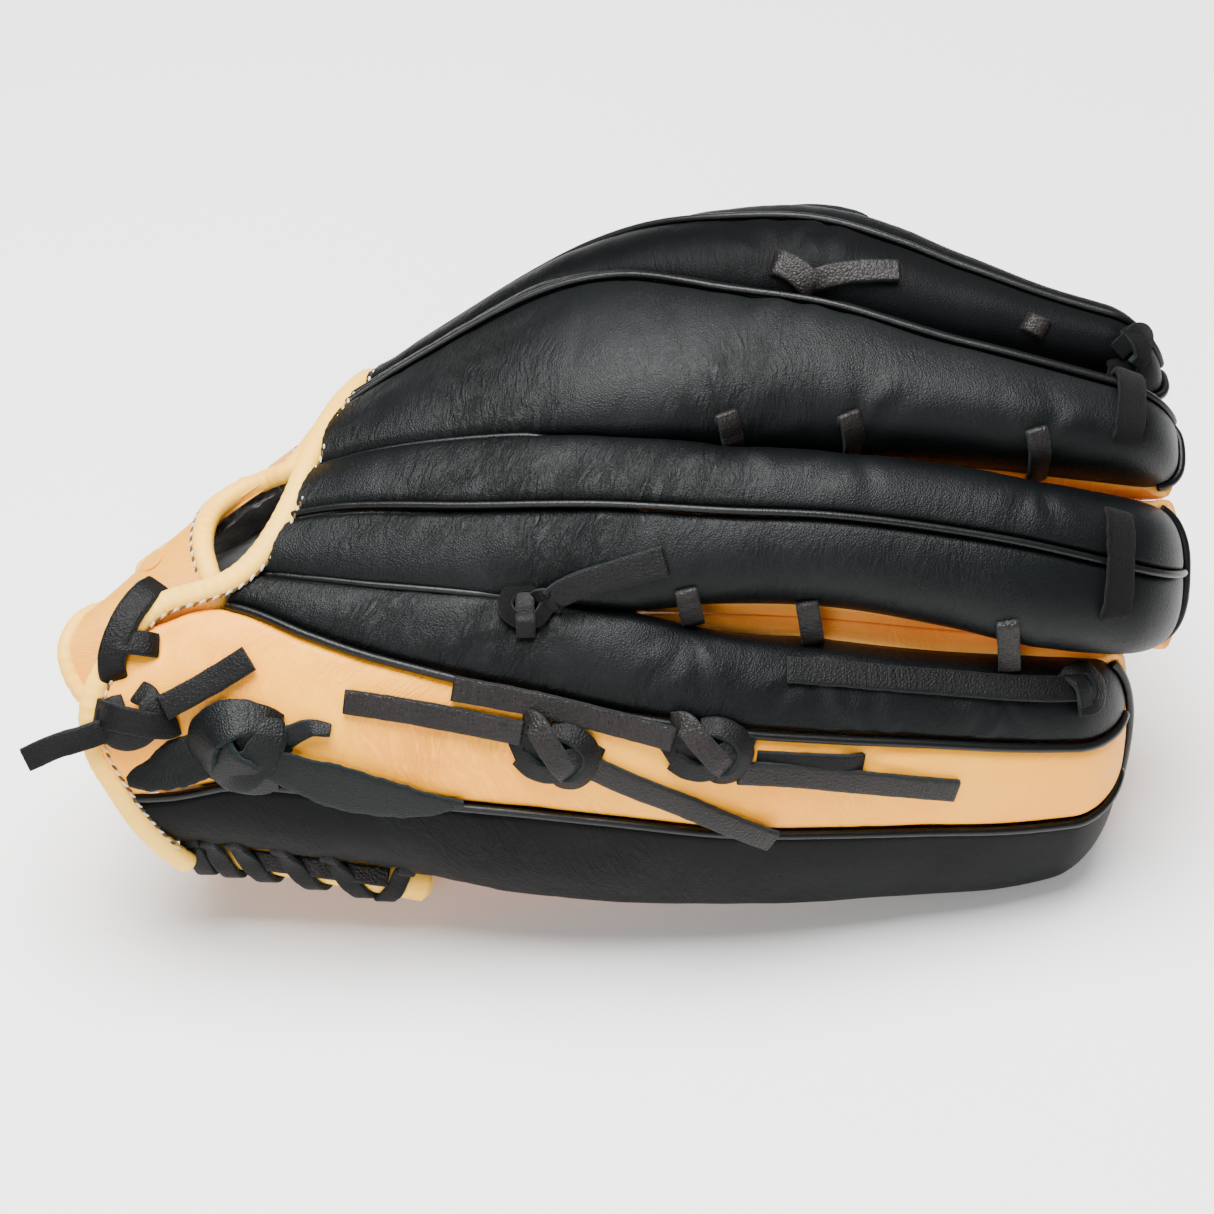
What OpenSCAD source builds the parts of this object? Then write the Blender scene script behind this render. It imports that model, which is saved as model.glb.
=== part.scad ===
// Baseball fielding glove for the right hand, lying palm down with its pocket over the surface.
// The glove is a padded sheet folded over a pocket. A point of it is given by x, which runs from
// the heel to the fingertips, by an angle round the pocket's centre line, and by a radius from it.
// Angles run from the thumb's edge at about -36 degrees, over the top, to the little finger's edge.

/* [Reach] */
// Tip of the ring finger, forward of the palm's centre
ring_tip = 160; // [152:1:170]
// Tip of the middle finger
middle_tip = 159; // [151:1:169]
// Tip of the index finger
index_tip = 157; // [148:1:166]
// Tip of the little finger
pinky_tip = 147; // [140:1:156]
// Tip of the thumb
thumb_tip = 94; // [84:1:104]

/* [Section] */
// Thickness of the padded glove, back to palm
glove_t = 36; // [30:1:40]
// Share of that thickness that lies above the side seams
crown_share = 0.55; // [0.45:0.01:0.62]
// Depth of the valleys over the back of the hand, as a share of the crown
valley_share = 0.22; // [0.1:0.01:0.35]
// Extra radius over the index knuckle
knuckle_rise = 20; // [10:1:24]

/* [Leather] */
// Thickness of the back and palm leather
leather_t = 2.6; // [1.8:0.1:3.2]
// Thickness of the felt behind the palm leather
felt_t = 6; // [4:0.5:8]
// Thickness of the lining leather
lining_t = 1.2; // [0.8:0.1:2]
// Width of a welt between two panels
welt_w = 2; // [1.4:0.1:3]
// How far a welt stands proud of the panels
welt_rise = 1; // [0.4:0.1:1.6]
// Width of the rolled binding
binding_w = 7; // [5:0.5:9]
// Thickness of the rolled binding
binding_t = 5; // [4:0.5:6]

/* [Lacing] */
// Width of the rawhide lace
lace_w = 6.4; // [4.5:0.1:8]
// Thickness of the rawhide lace
lace_t = 2; // [1.5:0.1:3]
// Width of the strip that makes the little finger's loop
strip_w = 12; // [9:0.5:14]

/* [Strap] */
// Thickness of the strap leather
strap_t = 2.4; // [1.8:0.1:3]
// Thickness of the fleece under the strap
fleece_t = 3.5; // [2:0.5:5]
// Depth of the strap's face below the inner face of the side panel it slides under
strap_depth = 5; // [4.4:0.1:6]

/* [Hidden] */

// Clearance between pieces that are sewn face to face
seam = 0.25;
// Clearance each side of a welt
welt_seam = 0.5;
// Half of the angle left open between the two halves at the fold
fold_half_angle = 1.25;
// Angle of the fold, from the pocket's centre line
fold_angle = 37;
// Where the frame's origin lies in these coordinates
origin_x = 2.87;
origin_y = 74.265;
floor_z = -114.57;

// Section: radius of the back on the little finger's side, and the rise at the knuckles
near_radius = [[-160, 50], [-110, 60], [-45, 78], [30, 93], [100, 95], [130, 92], [168, 84]];
rise_share = [[-160, 0], [-110, 0.1], [-60, 0.56], [-19, 1.04], [5, 1.12], [30, 1.02], [60, 0.86], [83, 0.52],
  [100, 0.15], [130, -0.4], [168, -0.65]];
rise_angle = 62;
rise_spread = 34;
// Growth of the radius towards the two outer edges
edge_growth = [[-160, 0], [-60, 2], [30, 4.5], [100, 9], [130, 10], [168, 8]];
edge_growth_angles = [-47, 227];
edge_growth_spread = 26;
// Thickness of the glove along its length, as a share of glove_t
thick_share = [[-160, 1], [-110, 1], [-40, 1], [30, 1], [120, 1], [168, 0.92]];
// How far the valleys between the fingers are cut, from the hand to the free fingers
cut_share = [[-160, valley_share], [-30, valley_share], [20, 0.6], [55, 1], [170, 1]];
palm_cut_share = [[-160, 0], [5, 0], [45, 0.75], [75, 1], [170, 1]];

// Angles of the seams along x
pinky_edge = [[-150, 203], [-110, 203], [-70, 206], [-45, 210], [-20, 215], [30, 217], [60, 218], [90, 220],
  [120, 224], [150, 227]];
pinky_outer_line = [[-150, 172], [-120, 171], [-100, 168], [-60, 172], [0, 178], [30, 182], [60, 185.5],
  [90, 189], [120, 193.5], [150, 199]];
pinky_inner_line = [[-150, 127], [-136, 124], [-120, 120], [-105, 120], [-80, 133], [-60, 141], [-20, 152],
  [30, 162], [60, 166.5], [90, 170.8], [120, 176], [150, 182]];
ring_pinky_valley = [[-150, 108], [-104, 111], [-80, 119], [-60, 125], [-20, 134], [0, 138], [30, 143],
  [60, 148], [90, 154.5], [120, 161.5], [165, 172]];
ring_line = [[-100, 99], [-80, 103], [-40, 113], [0, 120], [30, 125], [60, 129], [90, 134], [120, 140],
  [165, 151]];
ring_middle_valley = [[-100, 85], [-80, 88], [-40, 97], [0, 105], [30, 110], [60, 114], [90, 119], [120, 125],
  [165, 134]];
middle_line = [[-100, 73], [-40, 72], [0, 76], [30, 84], [60, 90.5], [90, 98.5], [120, 106], [165, 117]];
middle_index_valley = [[-100, 67], [-40, 66], [-20, 67], [0, 71], [30, 79], [60, 85], [90, 92], [120, 99],
  [165, 110]];
index_line = [[-100, 53], [-20, 54], [0, 58], [30, 66], [60, 72], [90, 79], [120, 87], [165, 99]];
index_edge = [[-100, fold_angle], [-10, fold_angle], [5, 39.5], [30, 50], [60, 58], [90, 66], [120, 76],
  [165, 90]];
thumb_inner_edge = [[-150, fold_angle], [-10, fold_angle], [5, 34.5], [30, 25], [60, 20], [100, 13]];
thumb_inner_line = [[-150, 21], [-60, 20], [0, 12], [30, 9], [60, 5], [100, -1]];
thumb_outer_line = [[-150, 5], [-60, 3], [0, -3], [30, -6], [60, -11], [100, -18]];
thumb_edge = [[-150, -30], [-60, -34], [0, -37.5], [60, -40], [100, -43]];

// Half gaps between neighbouring fingers, in mm
wide_gap = [[-150, seam], [5, seam], [30, 3.4], [60, 4.6], [90, 4], [120, 2.2], [165, 2.8]];
narrow_gap = [[-150, seam], [40, seam], [80, 0.8], [120, 1.6], [165, 2.6]];
no_gap = [[-150, 0], [165, 0]];

// A finger: edge at the smaller angle, edge at the larger one, tip, half gaps, and whether each edge is an
// outer fold, which is cut to the side seam along its whole length
PINKY = [ring_pinky_valley, pinky_edge, pinky_tip, wide_gap, no_gap, false, true];
RING = [ring_middle_valley, ring_pinky_valley, ring_tip, narrow_gap, wide_gap, false, false];
MIDDLE = [middle_index_valley, ring_middle_valley, middle_tip, narrow_gap, narrow_gap, false, false];
INDEX = [index_edge, middle_index_valley, index_tip, no_gap, narrow_gap, false, false];
THUMB = [thumb_edge, thumb_inner_edge, thumb_tip, no_gap, no_gap, true, false];
fingers = [PINKY, RING, MIDDLE, INDEX];

heel_x = -126;
tip_round = 14;
section_power = 2.6;
plan_power = 2.8;

function mix(a, b, t) = a + (b - a) * t;
function clamp(t) = max(0, min(1, t));
function segment(k, x, i = 0) = (i >= len(k) - 2 || x < k[i + 1][0]) ? i : segment(k, x, i + 1);
function slope(k, i) = let (a = max(0, i - 1), b = min(len(k) - 1, i + 1))
  (k[b][1] - k[a][1]) / (k[b][0] - k[a][0]);
// Smooth curve through hand-set points
function curve(k, x) =
  let (i = segment(k, x), w = k[i + 1][0] - k[i][0], t = clamp((x - k[i][0]) / w))
  let (t2 = t * t, t3 = t2 * t)
  (2 * t3 - 3 * t2 + 1) * k[i][1] + (t3 - 2 * t2 + t) * w * slope(k, i)
  + (3 * t2 - 2 * t3) * k[i + 1][1] + (t3 - t2) * w * slope(k, i + 1);
// Even samples of a short list
function along(list, t) =
  let (p = clamp(t) * (len(list) - 1), i = min(floor(p), len(list) - 2)) mix(list[i], list[i + 1], p - i);

function centre_y(x) = 42 + 0.205 * (x + 110);
function centre_z(x) = -62 + 0.033 * (x + 110);
function at(x, angle, r) =
  [x - origin_x, centre_y(x) + r * cos(angle) - origin_y, centre_z(x) + r * sin(angle) - floor_z];
function arc_mm(mm, r) = mm / r * 180 / PI;

function back_radius(x, angle) = curve(near_radius, x)
  + knuckle_rise * curve(rise_share, x) * exp(-pow((angle - rise_angle) / rise_spread, 2))
  + curve(edge_growth, x) * (exp(-pow((angle - edge_growth_angles[0]) / edge_growth_spread, 2))
    + exp(-pow((angle - edge_growth_angles[1]) / edge_growth_spread, 2)));
function thickness(x) = glove_t * curve(thick_share, x);
function crown(x) = crown_share * thickness(x);

// Edges of a finger at x, drawn in by some mm
function low_edge(f, x, inset) = let (r = back_radius(x, curve(f[0], x)) - crown(x))
  curve(f[0], x) + arc_mm(curve(f[3], x) + inset * side_cut(f, x, 0, cut_share), r)
  + ((f[0] == index_edge) ? fold_share(x) : 0);
function high_edge(f, x, inset) = let (r = back_radius(x, curve(f[1], x)) - crown(x))
  curve(f[1], x) - arc_mm(curve(f[4], x) + inset * side_cut(f, x, 1, cut_share), r)
  - ((f[1] == thumb_inner_edge) ? fold_share(x) : 0);
function fold_share(x) = fold_half_angle * clamp((20 - x) / 15);
function side_cut(f, x, s, k) = (s < 0.5 ? f[5] : f[6]) ? 1 : clamp(curve(k, x));
function across(f, x, s, inset) = mix(low_edge(f, x, inset), high_edge(f, x, inset), s);
// Share across the finger of a seam line
function share_of(f, x, line) =
  (curve(line, x) - low_edge(f, x, 0)) / (high_edge(f, x, 0) - low_edge(f, x, 0));
function width_mm(f, x) =
  (high_edge(f, x, 0) - low_edge(f, x, 0)) * PI / 180 * (back_radius(x, curve(f[0], x)) - 8);

function arch(s, power) = pow(max(0, 1 - pow(abs(2 * s - 1), power)), 1 / power);
function tip_x(f, s, inset) = f[2] - inset - tip_round * (1 - arch(s, plan_power));
function tip_fall(f, x, s, inset) = let (q = clamp((tip_x(f, s, inset) - x) / (tip_round + 3)))
  sqrt(max(0, 1 - (1 - q) * (1 - q)));
// Radius of a finger's back, and of its palm side, drawn in by some mm
function top_r(f, x, s, inset) =
  let (cut = side_cut(f, x, s, cut_share), fall = tip_fall(f, x, s, inset), h = crown(x))
  let (full = back_radius(x, across(f, x, s, 0)) - inset)
  full - (h - inset) * (1 - (1 - cut * (1 - arch(s, section_power))) * fall) + seam * (1 - fall);
function palm_r(f, x, s, inset) =
  let (cut = side_cut(f, x, s, palm_cut_share), fall = tip_fall(f, x, s, inset))
  let (h = thickness(x) - crown(x), full = back_radius(x, across(f, x, s, 0)) - thickness(x) + inset)
  full + (h - inset) * (1 - (1 - cut * (1 - arch(s, section_power))) * fall) - seam;

// Rows and columns of points joined into a closed sheet
function grid_faces(rows, cols, base, flip) = [
  for (i = [0:rows - 2]) for (j = [0:cols - 2])
    let (a = base + i * cols + j, b = a + 1, c = a + cols + 1, d = a + cols)
    each flip ? [[a, c, b], [a, d, c]] : [[a, b, c], [a, c, d]]
];
function rim_faces(loop, n) = [
  for (k = [0:len(loop) - 1]) let (a = loop[k], b = loop[(k + 1) % len(loop)])
    each [[a, b, b + n], [a, b + n, a + n]]
];
function border(rows, cols) = concat(
  [for (j = [0:cols - 2]) j], [for (i = [0:rows - 2]) i * cols + cols - 1],
  [for (j = [cols - 1:-1:1]) (rows - 1) * cols + j], [for (i = [rows - 1:-1:1]) i * cols]);
module sheet(outer, inner) {
  rows = len(outer);
  cols = len(outer[0]);
  n = rows * cols;
  polyhedron(
    points = concat([for (r = outer) for (p = r) p], [for (r = inner) for (p = r) p]),
    faces = concat(grid_faces(rows, cols, 0, true), grid_faces(rows, cols, n, false),
      rim_faces(border(rows, cols), n)));
}

// Leather panel of a finger between two seam lines, each line given as a share function by [line, shift]
function line_share(f, x, edge) = edge[0] == "low" ? 0 : edge[0] == "high" ? 1
  : share_of(f, x, edge[0]) + edge[1] / width_mm(f, x);
panel_rows = 17;
panel_cols = 5;
function ease_out(t) = 1 - pow(1 - t, 1.35);
function panel_point(f, lo, hi, starts, i, j, inset) =
  let (q = j / panel_cols, x0 = along(starts, q), t = ease_out(i / panel_rows))
  let (s1 = mix(line_share(f, f[2] - 12, lo), line_share(f, f[2] - 12, hi), q))
  let (x = mix(x0, tip_x(f, s1, inset), t))
  let (s = mix(line_share(f, x, lo), line_share(f, x, hi), q))
  let (xt = min(x, tip_x(f, s, inset)))
  at(xt, across(f, xt, s, inset), top_r(f, xt, s, inset));
module panel(f, lo, hi, starts) {
  sheet([for (i = [0:panel_rows]) [for (j = [0:panel_cols]) panel_point(f, lo, hi, starts, i, j, 0)]],
    [for (i = [0:panel_rows]) [for (j = [0:panel_cols]) panel_point(f, lo, hi, starts, i, j, leather_t)]]);
}
welt_edge = welt_w / 2 + welt_seam;
function below(line) = [line, -welt_edge];
function above(line) = [line, welt_edge];

// Welt standing in the seam between two panels, ending short of the fingertip
welt_short = 3;
welt_rows = 18;
function welt_point(f, line, x0, i, j, inset, rise) =
  let (t = ease_out(i / welt_rows), s1 = share_of(f, f[2] - 12, line))
  let (x = mix(x0, tip_x(f, s1, inset) - welt_short, t))
  let (s = share_of(f, x, line) + (j - 1) * welt_w / 2 / width_mm(f, x))
  let (xt = min(x, tip_x(f, s, inset) - welt_short / 2))
  at(xt, across(f, xt, s, inset), top_r(f, xt, s, inset) + (j == 1 ? rise : rise * 0.3));
module welt(f, line, x0) {
  sheet([for (i = [0:welt_rows]) [for (j = [0:2]) welt_point(f, line, x0, i, j, 0, welt_rise)]],
    [for (i = [0:welt_rows]) [for (j = [0:2]) welt_point(f, line, x0, i, j, leather_t, 0)]]);
}

// Strip or roll swept along points, each with the direction its flat side faces
function unit(v) = v / norm(v);
function tangent(p, i) = unit(p[min(i + 1, len(p) - 1)] - p[max(i - 1, 0)]);
module strip(points, normals, w, t, sides = 4) {
  n = len(points);
  turn = sides == 4 ? 45 : 180 / sides;
  grow = sides == 4 ? sqrt(2) : 1;
  ring = [for (k = [0:sides - 1]) let (a = turn + 360 * k / sides)
    [cos(a) * w / 2 * grow, sin(a) * t / 2 * grow]];
  pts = [for (i = [0:n - 1])
    let (d = tangent(points, i), side = unit(cross(d, normals[i])), up = cross(side, d))
    for (c = ring) points[i] + side * c[0] + up * c[1]];
  faces = concat(
    [for (i = [0:n - 2]) for (k = [0:sides - 1])
      let (a = i * sides + k, b = i * sides + (k + 1) % sides, c = b + sides, d = a + sides)
      each [[a, c, b], [a, d, c]]],
    [[for (k = [0:sides - 1]) k]],
    [[for (k = [sides - 1:-1:0]) (n - 1) * sides + k]]);
  polyhedron(points = pts, faces = faces);
}
function out_dir(angle) = [0, cos(angle), sin(angle)];

// Radius of the back's outer skin at any place
function finger_at(x, angle) = angle > curve(ring_pinky_valley, x) ? PINKY
  : angle > curve(ring_middle_valley, x) ? RING
  : angle > curve(middle_index_valley, x) ? MIDDLE
  : angle > fold_angle ? INDEX : THUMB;
function skin_r(x, angle) = let (f = finger_at(x, angle))
  let (s = clamp((angle - low_edge(f, x, 0)) / (high_edge(f, x, 0) - low_edge(f, x, 0))))
  top_r(f, min(x, tip_x(f, s, 0)), s, 0);
function skin(x, angle) = at(x, angle, skin_r(x, angle));
function skin_dir(x, angle) =
  unit(cross(skin(x, angle + 1.5) - skin(x, angle - 1.5), skin(x + 2, angle) - skin(x - 2, angle)));
// Lace on the skin, from stations of x, angle and clear height above the skin
lace_steps = 3;
module skin_lace(stations, w = lace_w, t = lace_t, sides = 4) {
  n = (len(stations) - 1) * lace_steps;
  k = [for (i = [0:n]) along(stations, i / n)];
  dirs = [for (p = k) skin_dir(p[0], p[1])];
  strip([for (i = [0:n]) skin(k[i][0], k[i][1]) + dirs[i] * (k[i][2] + t / 2)], dirs, w, t, sides);
}

// Back of the fingers
module pinky_back_panel() color("#23262a") panel(PINKY, ["low"], below(pinky_inner_line), [-97, -103]);
module pinky_side_panel() color("#f0c27a")
  panel(PINKY, above(pinky_inner_line), below(pinky_outer_line), [-124, -131, -134, -132, -127]);
module pinky_outer_panel() color("#1b1d1f")
  panel(PINKY, above(pinky_outer_line), ["high"], [-127, -122, -114, -107]);
module pinky_inner_welt() color("#1b1d1f") welt(PINKY, pinky_inner_line, -92);
module pinky_outer_welt() color("#1b1d1f") welt(PINKY, pinky_outer_line, -126.5);
module ring_back_panel_middle_side() color("#2a2c2f") panel(RING, ["low"], below(ring_line), [-84, -90]);
module ring_back_panel_pinky_side() color("#2a2c2f") panel(RING, above(ring_line), ["high"], [-90, -97]);
module ring_welt() color("#1b1d1f") welt(RING, ring_line, -90);
module middle_back_panel_index_side() color("#2a2c2f")
  panel(MIDDLE, ["low"], below(middle_line), [-72.5, -76.3]);
module middle_back_panel_ring_side() color("#2a2c2f") panel(MIDDLE, above(middle_line), ["high"], [-77, -84]);
module middle_welt() color("#1b1d1f") welt(MIDDLE, middle_line, -76.5);
module index_back_panel_web_side() color("#2a2c2f") panel(INDEX, ["low"], below(index_line), [-64, -70]);
module index_back_panel_middle_side() color("#2a2c2f") panel(INDEX, above(index_line), ["high"], [-70, -73]);
module index_welt() color("#1b1d1f") welt(INDEX, index_line, -70);

// Back of the thumb
module thumb_outer_panel() color("#1b1d1f")
  panel(THUMB, ["low"], below(thumb_outer_line), [-112, -122, -130]);
module thumb_side_panel() color("#f0c27a")
  panel(THUMB, above(thumb_outer_line), below(thumb_inner_line), [-130, -134, -128]);
module thumb_back_panel() color("#23262a") panel(THUMB, above(thumb_inner_line), ["high"], [-104, -100]);
module thumb_inner_welt() color("#1b1d1f") welt(THUMB, thumb_inner_line, -110);
module thumb_outer_welt() color("#1b1d1f") welt(THUMB, thumb_outer_line, -130);

// Palm leather: one hide that runs from the heel and parts into the fingers
palm_split = 8;
palm_rows = 9;
tongue_rows = 9;
tongue_cols = 4;
function palm_angle(f, x, j, inset, joined) =
  let (s = j / tongue_cols)
  joined && j == 0 && f[0] != index_edge && f[0] != thumb_edge ? curve(f[0], x)
  : joined && j == tongue_cols && f[1] != pinky_edge && f[1] != thumb_inner_edge ? curve(f[1], x)
  : across(f, x, s, inset);
function palm_point(f, x, j, lift, inset, joined) = let (s = j / tongue_cols)
  at(x, palm_angle(f, x, j, inset, joined), palm_r(f, x, s, inset) + lift);
// Hand part over all the fingers of one side, listed from the smallest angle
function hand_row(set, x, lift, inset) = [
  for (k = [0:len(set) - 1]) for (j = [(k == 0 ? 0 : 1):tongue_cols])
    palm_point(set[k], x, j, lift, inset, true)
];
function tongue_x(f, i, s, inset) = mix(palm_split, tip_x(f, s, inset), 1 - pow(1 - i / tongue_rows, 1.4));
function tongue_row(f, i, lift, inset) = [
  for (j = [0:tongue_cols]) let (x = tongue_x(f, i, j / tongue_cols, inset))
    palm_point(f, x, j, lift, inset, false)
];
module comb(set) {
  fingers_n = len(set);
  cols = fingers_n * tongue_cols + 1;
  hand_n = (palm_rows + 1) * cols;
  tc = tongue_cols + 1;
  tongue_n = tongue_rows * tc;
  n = hand_n + fingers_n * tongue_n;
  hand_x = [for (i = [0:palm_rows]) mix(heel_x, palm_split, i / palm_rows)];
  face = [for (x = hand_x) for (p = hand_row(set, x, 0, 0)) p];
  back = [for (x = hand_x) for (p = hand_row(set, x, 0, leather_t)) p];
  face_tongues = [for (f = set) for (i = [1:tongue_rows]) for (p = tongue_row(f, i, 0, 0)) p];
  back_tongues = [for (f = set) for (i = [1:tongue_rows]) for (p = tongue_row(f, i, 0, leather_t)) p];
  last = palm_rows * cols;
  joins = [
    for (k = [0:fingers_n - 1]) for (j = [0:tongue_cols - 1])
      let (a = last + k * tongue_cols + j, b = a + 1, d = hand_n + k * tongue_n + j, c = d + 1)
      each [[a, b, c], [a, c, d]]
  ];
  tongues = [for (k = [0:fingers_n - 1]) each grid_faces(tongue_rows, tc, hand_n + k * tongue_n, false)];
  skin = concat(grid_faces(palm_rows + 1, cols, 0, false), joins, tongues);
  under = [for (t = skin) [t[0] + n, t[2] + n, t[1] + n]];
  // Open border: heel, then up each side of each tongue
  walk = concat(
    [for (j = [cols - 1:-1:1]) j],
    [for (i = [0:palm_rows - 1]) i * cols],
    [for (k = [0:fingers_n - 1]) let (base = hand_n + k * tongue_n)
      each concat([last + k * tongue_cols],
        [for (i = [0:tongue_rows - 1]) base + i * tc],
        [for (j = [1:tongue_cols - 1]) base + (tongue_rows - 1) * tc + j],
        [for (i = [tongue_rows - 1:-1:0]) base + i * tc + tongue_cols])],
    [for (i = [palm_rows:-1:1]) i * cols + cols - 1]);
  rim = [for (k = [0:len(walk) - 1]) let (a = walk[k], b = walk[(k + 1) % len(walk)])
    each [[a, b, b + n], [a, b + n, a + n]]];
  polyhedron(points = concat(face, face_tongues, back, back_tongues), faces = concat(skin, under, rim));
}
module palm_leather_finger_side() color("#e8b56c") comb([INDEX, MIDDLE, RING, PINKY]);
module palm_leather_thumb_side() color("#e8b56c") comb([THUMB]);

// Layers behind the palm leather, on the same rows and columns, between two columns
function layer_row(set, x, lift, first, last) =
  let (row = hand_row(set, x, lift, leather_t)) [for (j = [first:last]) row[j]];
module layer(set, x0, first, last, depth, t) {
  xs = [for (i = [0:palm_rows - 1]) max(x0, mix(heel_x, palm_split, i / palm_rows))];
  sheet([for (x = xs) layer_row(set, x, depth + t, first, last)],
    [for (x = xs) layer_row(set, x, depth, first, last)]);
}
hand = [INDEX, MIDDLE, RING, PINKY];
hand_cols = len(hand) * tongue_cols;
module palm_felt_finger_side() color("#cfcabd") layer(hand, heel_x + 4, 0, hand_cols - 1, seam, felt_t);
module palm_felt_thumb_side() color("#cfcabd") layer([THUMB], heel_x + 4, 1, tongue_cols, seam, felt_t);
lining_depth = felt_t + 2 * seam;
module palm_lining_finger_side() color("#d9b27c")
  layer(hand, heel_x + 2, 0, hand_cols - 1, lining_depth, lining_t);
module palm_lining_thumb_side() color("#d9b27c")
  layer([THUMB], heel_x + 2, 1, tongue_cols, lining_depth, lining_t);
// Pads inside the fingers, on the palm leather
pad_t = 4;
function pad_point(f, i, s, lift) = let (x = tongue_x(f, i, s, leather_t))
  at(x, across(f, x, s, leather_t), palm_r(f, x, s, leather_t) + lift);
pad_shares = [0.25, 0.5, 0.75];
module finger_pad(f) {
  sheet([for (i = [1:6]) [for (s = pad_shares) pad_point(f, i, s, seam + pad_t)]],
    [for (i = [1:6]) [for (s = pad_shares) pad_point(f, i, s, seam)]]);
}
module finger_pads() color("#cfcabd") for (f = fingers) finger_pad(f);
module thumb_pad() color("#cfcabd") finger_pad(THUMB);
function layer_r(x, angle, depth) = back_radius(x, angle) - thickness(x) + leather_t + depth;
// Heel pads, between the lining and the outer panels
heel_pad_top_gap = 6;
heel_pad_gap = 1.5;
module heel_pad(x0, x1, a0, a1) {
  function p(i, j, top) = let (x = mix(x0, x1, i / 5), a = mix(a0, a1, j / 3))
    at(x, a, top ? back_radius(x, a) - leather_t - heel_pad_top_gap
      : layer_r(x, a, lining_depth + lining_t + heel_pad_gap));
  sheet([for (i = [0:5]) [for (j = [0:3]) p(i, j, true)]],
    [for (i = [0:5]) [for (j = [0:3]) p(i, j, false)]]);
}
module pinky_heel_pad() color("#bdb7a8") heel_pad(-104, -40, 170, 184);
module thumb_heel_pad() color("#bdb7a8") heel_pad(-104, -40, -18, -4);

// Rolled bindings
binding_sides = 8;
function edge_stations(list, steps) = [for (i = [0:steps]) along(list, i / steps)];
module roll(list, steps, w, t, drop) {
  k = edge_stations(list, steps);
  strip([for (p = k) at(p[0], p[1], back_radius(p[0], p[1]) - drop - (len(p) > 2 ? p[2] : 0))],
    [for (p = k) out_dir(p[1])], w, t, binding_sides);
}
binding_gap = 0.8;
half_w = binding_w / 2 + binding_gap;
binding_sink = 0.8;
module back_binding_finger_side() color("#efd9a8") roll([
    [-64 - half_w, fold_angle + 3], [-70 - half_w, 53], [-73 - half_w, 67], [-81 - half_w, 78],
    [-85 - half_w, 88], [-91 - half_w, 100], [-99 - half_w, 112], [-110, 115.6, -1], [-120, 116, -1],
    [-129, 120, -1], [-136, 132, -1], [-138.8, 146], [-138, 158], [-134, 169], [-130, 181],
    [-123.5, 192], [-118, 199]
  ], 48, binding_w, binding_t, binding_sink);
module back_binding_thumb_side() color("#efd9a8") roll([
    [-104.6, 33], [-107, 28.5], [-113, 26.4], [-124, 26.4], [-134, 24], [-139.5, 16], [-138, 4], [-131, -10],
    [-123, -22], [-119, -30]
  ], 26, binding_w, binding_t, binding_sink);
palm_binding_out = 3.2;
palm_binding_h = 6;
module palm_binding(a0, a1, n) {
  k = [for (i = [0:n]) mix(a0, a1, i / n)];
  strip([for (a = k) at(heel_x - palm_binding_out, a, layer_r(heel_x, a, palm_binding_h / 2 - leather_t))],
    [for (a = k) out_dir(a)], binding_t, palm_binding_h, binding_sides);
}
module palm_binding_finger_side() color("#efd9a8") palm_binding(fold_angle + 6, 211, 20);
module palm_binding_thumb_side() color("#efd9a8") palm_binding(-31, fold_angle - 6, 8);
// Piping round the finger ends, along the side seams
piping_d = 2;
piping_out = 2.3;
module tip_piping(f) {
  n = 16;
  function s_at(i) = 0.5 - 0.5 * cos(180 * i / n);
  function p(i) = let (s = mix(0.02, 0.98, i / n), x = tip_x(f, s, 0) + piping_out)
    let (xt = min(x, f[2]), a = across(f, xt, s, 0)) at(x, a, back_radius(xt, a) - crown(f[2]));
  strip([for (i = [0:n]) p(i)], [for (i = [0:n]) out_dir(across(f, f[2] - 10, i / n, 0))],
    piping_d, piping_d, 6);
}
module fingertip_piping() color("#1b1d1f") for (f = fingers) tip_piping(f);
module thumb_tip_piping() color("#1b1d1f") tip_piping(THUMB);

// Wrist strap, sewn at the thumb and sliding under the little finger's side panel
// Stations: angle, x of its two edges, depth of its face below the panels' inner face, and taper to the wrist
strap_stations = [[12, -84, -122, 1.9, 2], [35, -82, -116, 2.4, 5], [55, -83, -112, 3.9, 8],
  [66, -88, -115, 3.4, 9], [73, -95, -120, 2.4, 9], [80, -106, -127, 1.4, 9], [92, -112, -134, 0.9, 8],
  [101, -114, -137, 0.9, 6], [110, -113, -139, 2, 4],
  [118, -111, -142, strap_depth, 2], [128, -109, -143, strap_depth, 1],
  [141, -107, -140, strap_depth, 1]];
function strap_value(angle, n) = lookup(angle, [for (k = strap_stations) [k[0], k[n]]]);
// Radius of the strap's face, which tapers towards the wrist
function strap_r(x, angle) =
  let (a = strap_value(angle, 1), b = strap_value(angle, 2), q = clamp((x - a) / (b - a)))
  back_radius(x, angle) - leather_t - strap_value(angle, 3) - strap_value(angle, 4) * q;
strap_rows = 24;
strap_cols = 4;
function strap_at(i, j, inset, deep) =
  let (k = along(strap_stations, i / strap_rows), q = j / strap_cols)
  let (x = mix(k[1] - inset, k[2] + inset, q)) at(x, k[0], strap_r(x, k[0]) - deep);
function strap_grid(inset, deep, first = 0, last = strap_rows) =
  [for (i = [first:last]) [for (j = [0:strap_cols]) strap_at(i, j, inset, deep)]];
module wrist_strap() color("#f0c27a") sheet(strap_grid(0, strap_t), strap_grid(0, 0));
fleece_inset = 3;
module strap_fleece() color("#1c1613") sheet(
  strap_grid(fleece_inset, strap_t + seam + fleece_t, 1, strap_rows - 1),
  strap_grid(fleece_inset, strap_t + seam, 1, strap_rows - 1));
strap_edge_w = 3.8;
strap_edge_t = 4.2;
strap_edge_out = 3.5;
strap_edge_sink = 0.6;
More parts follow.
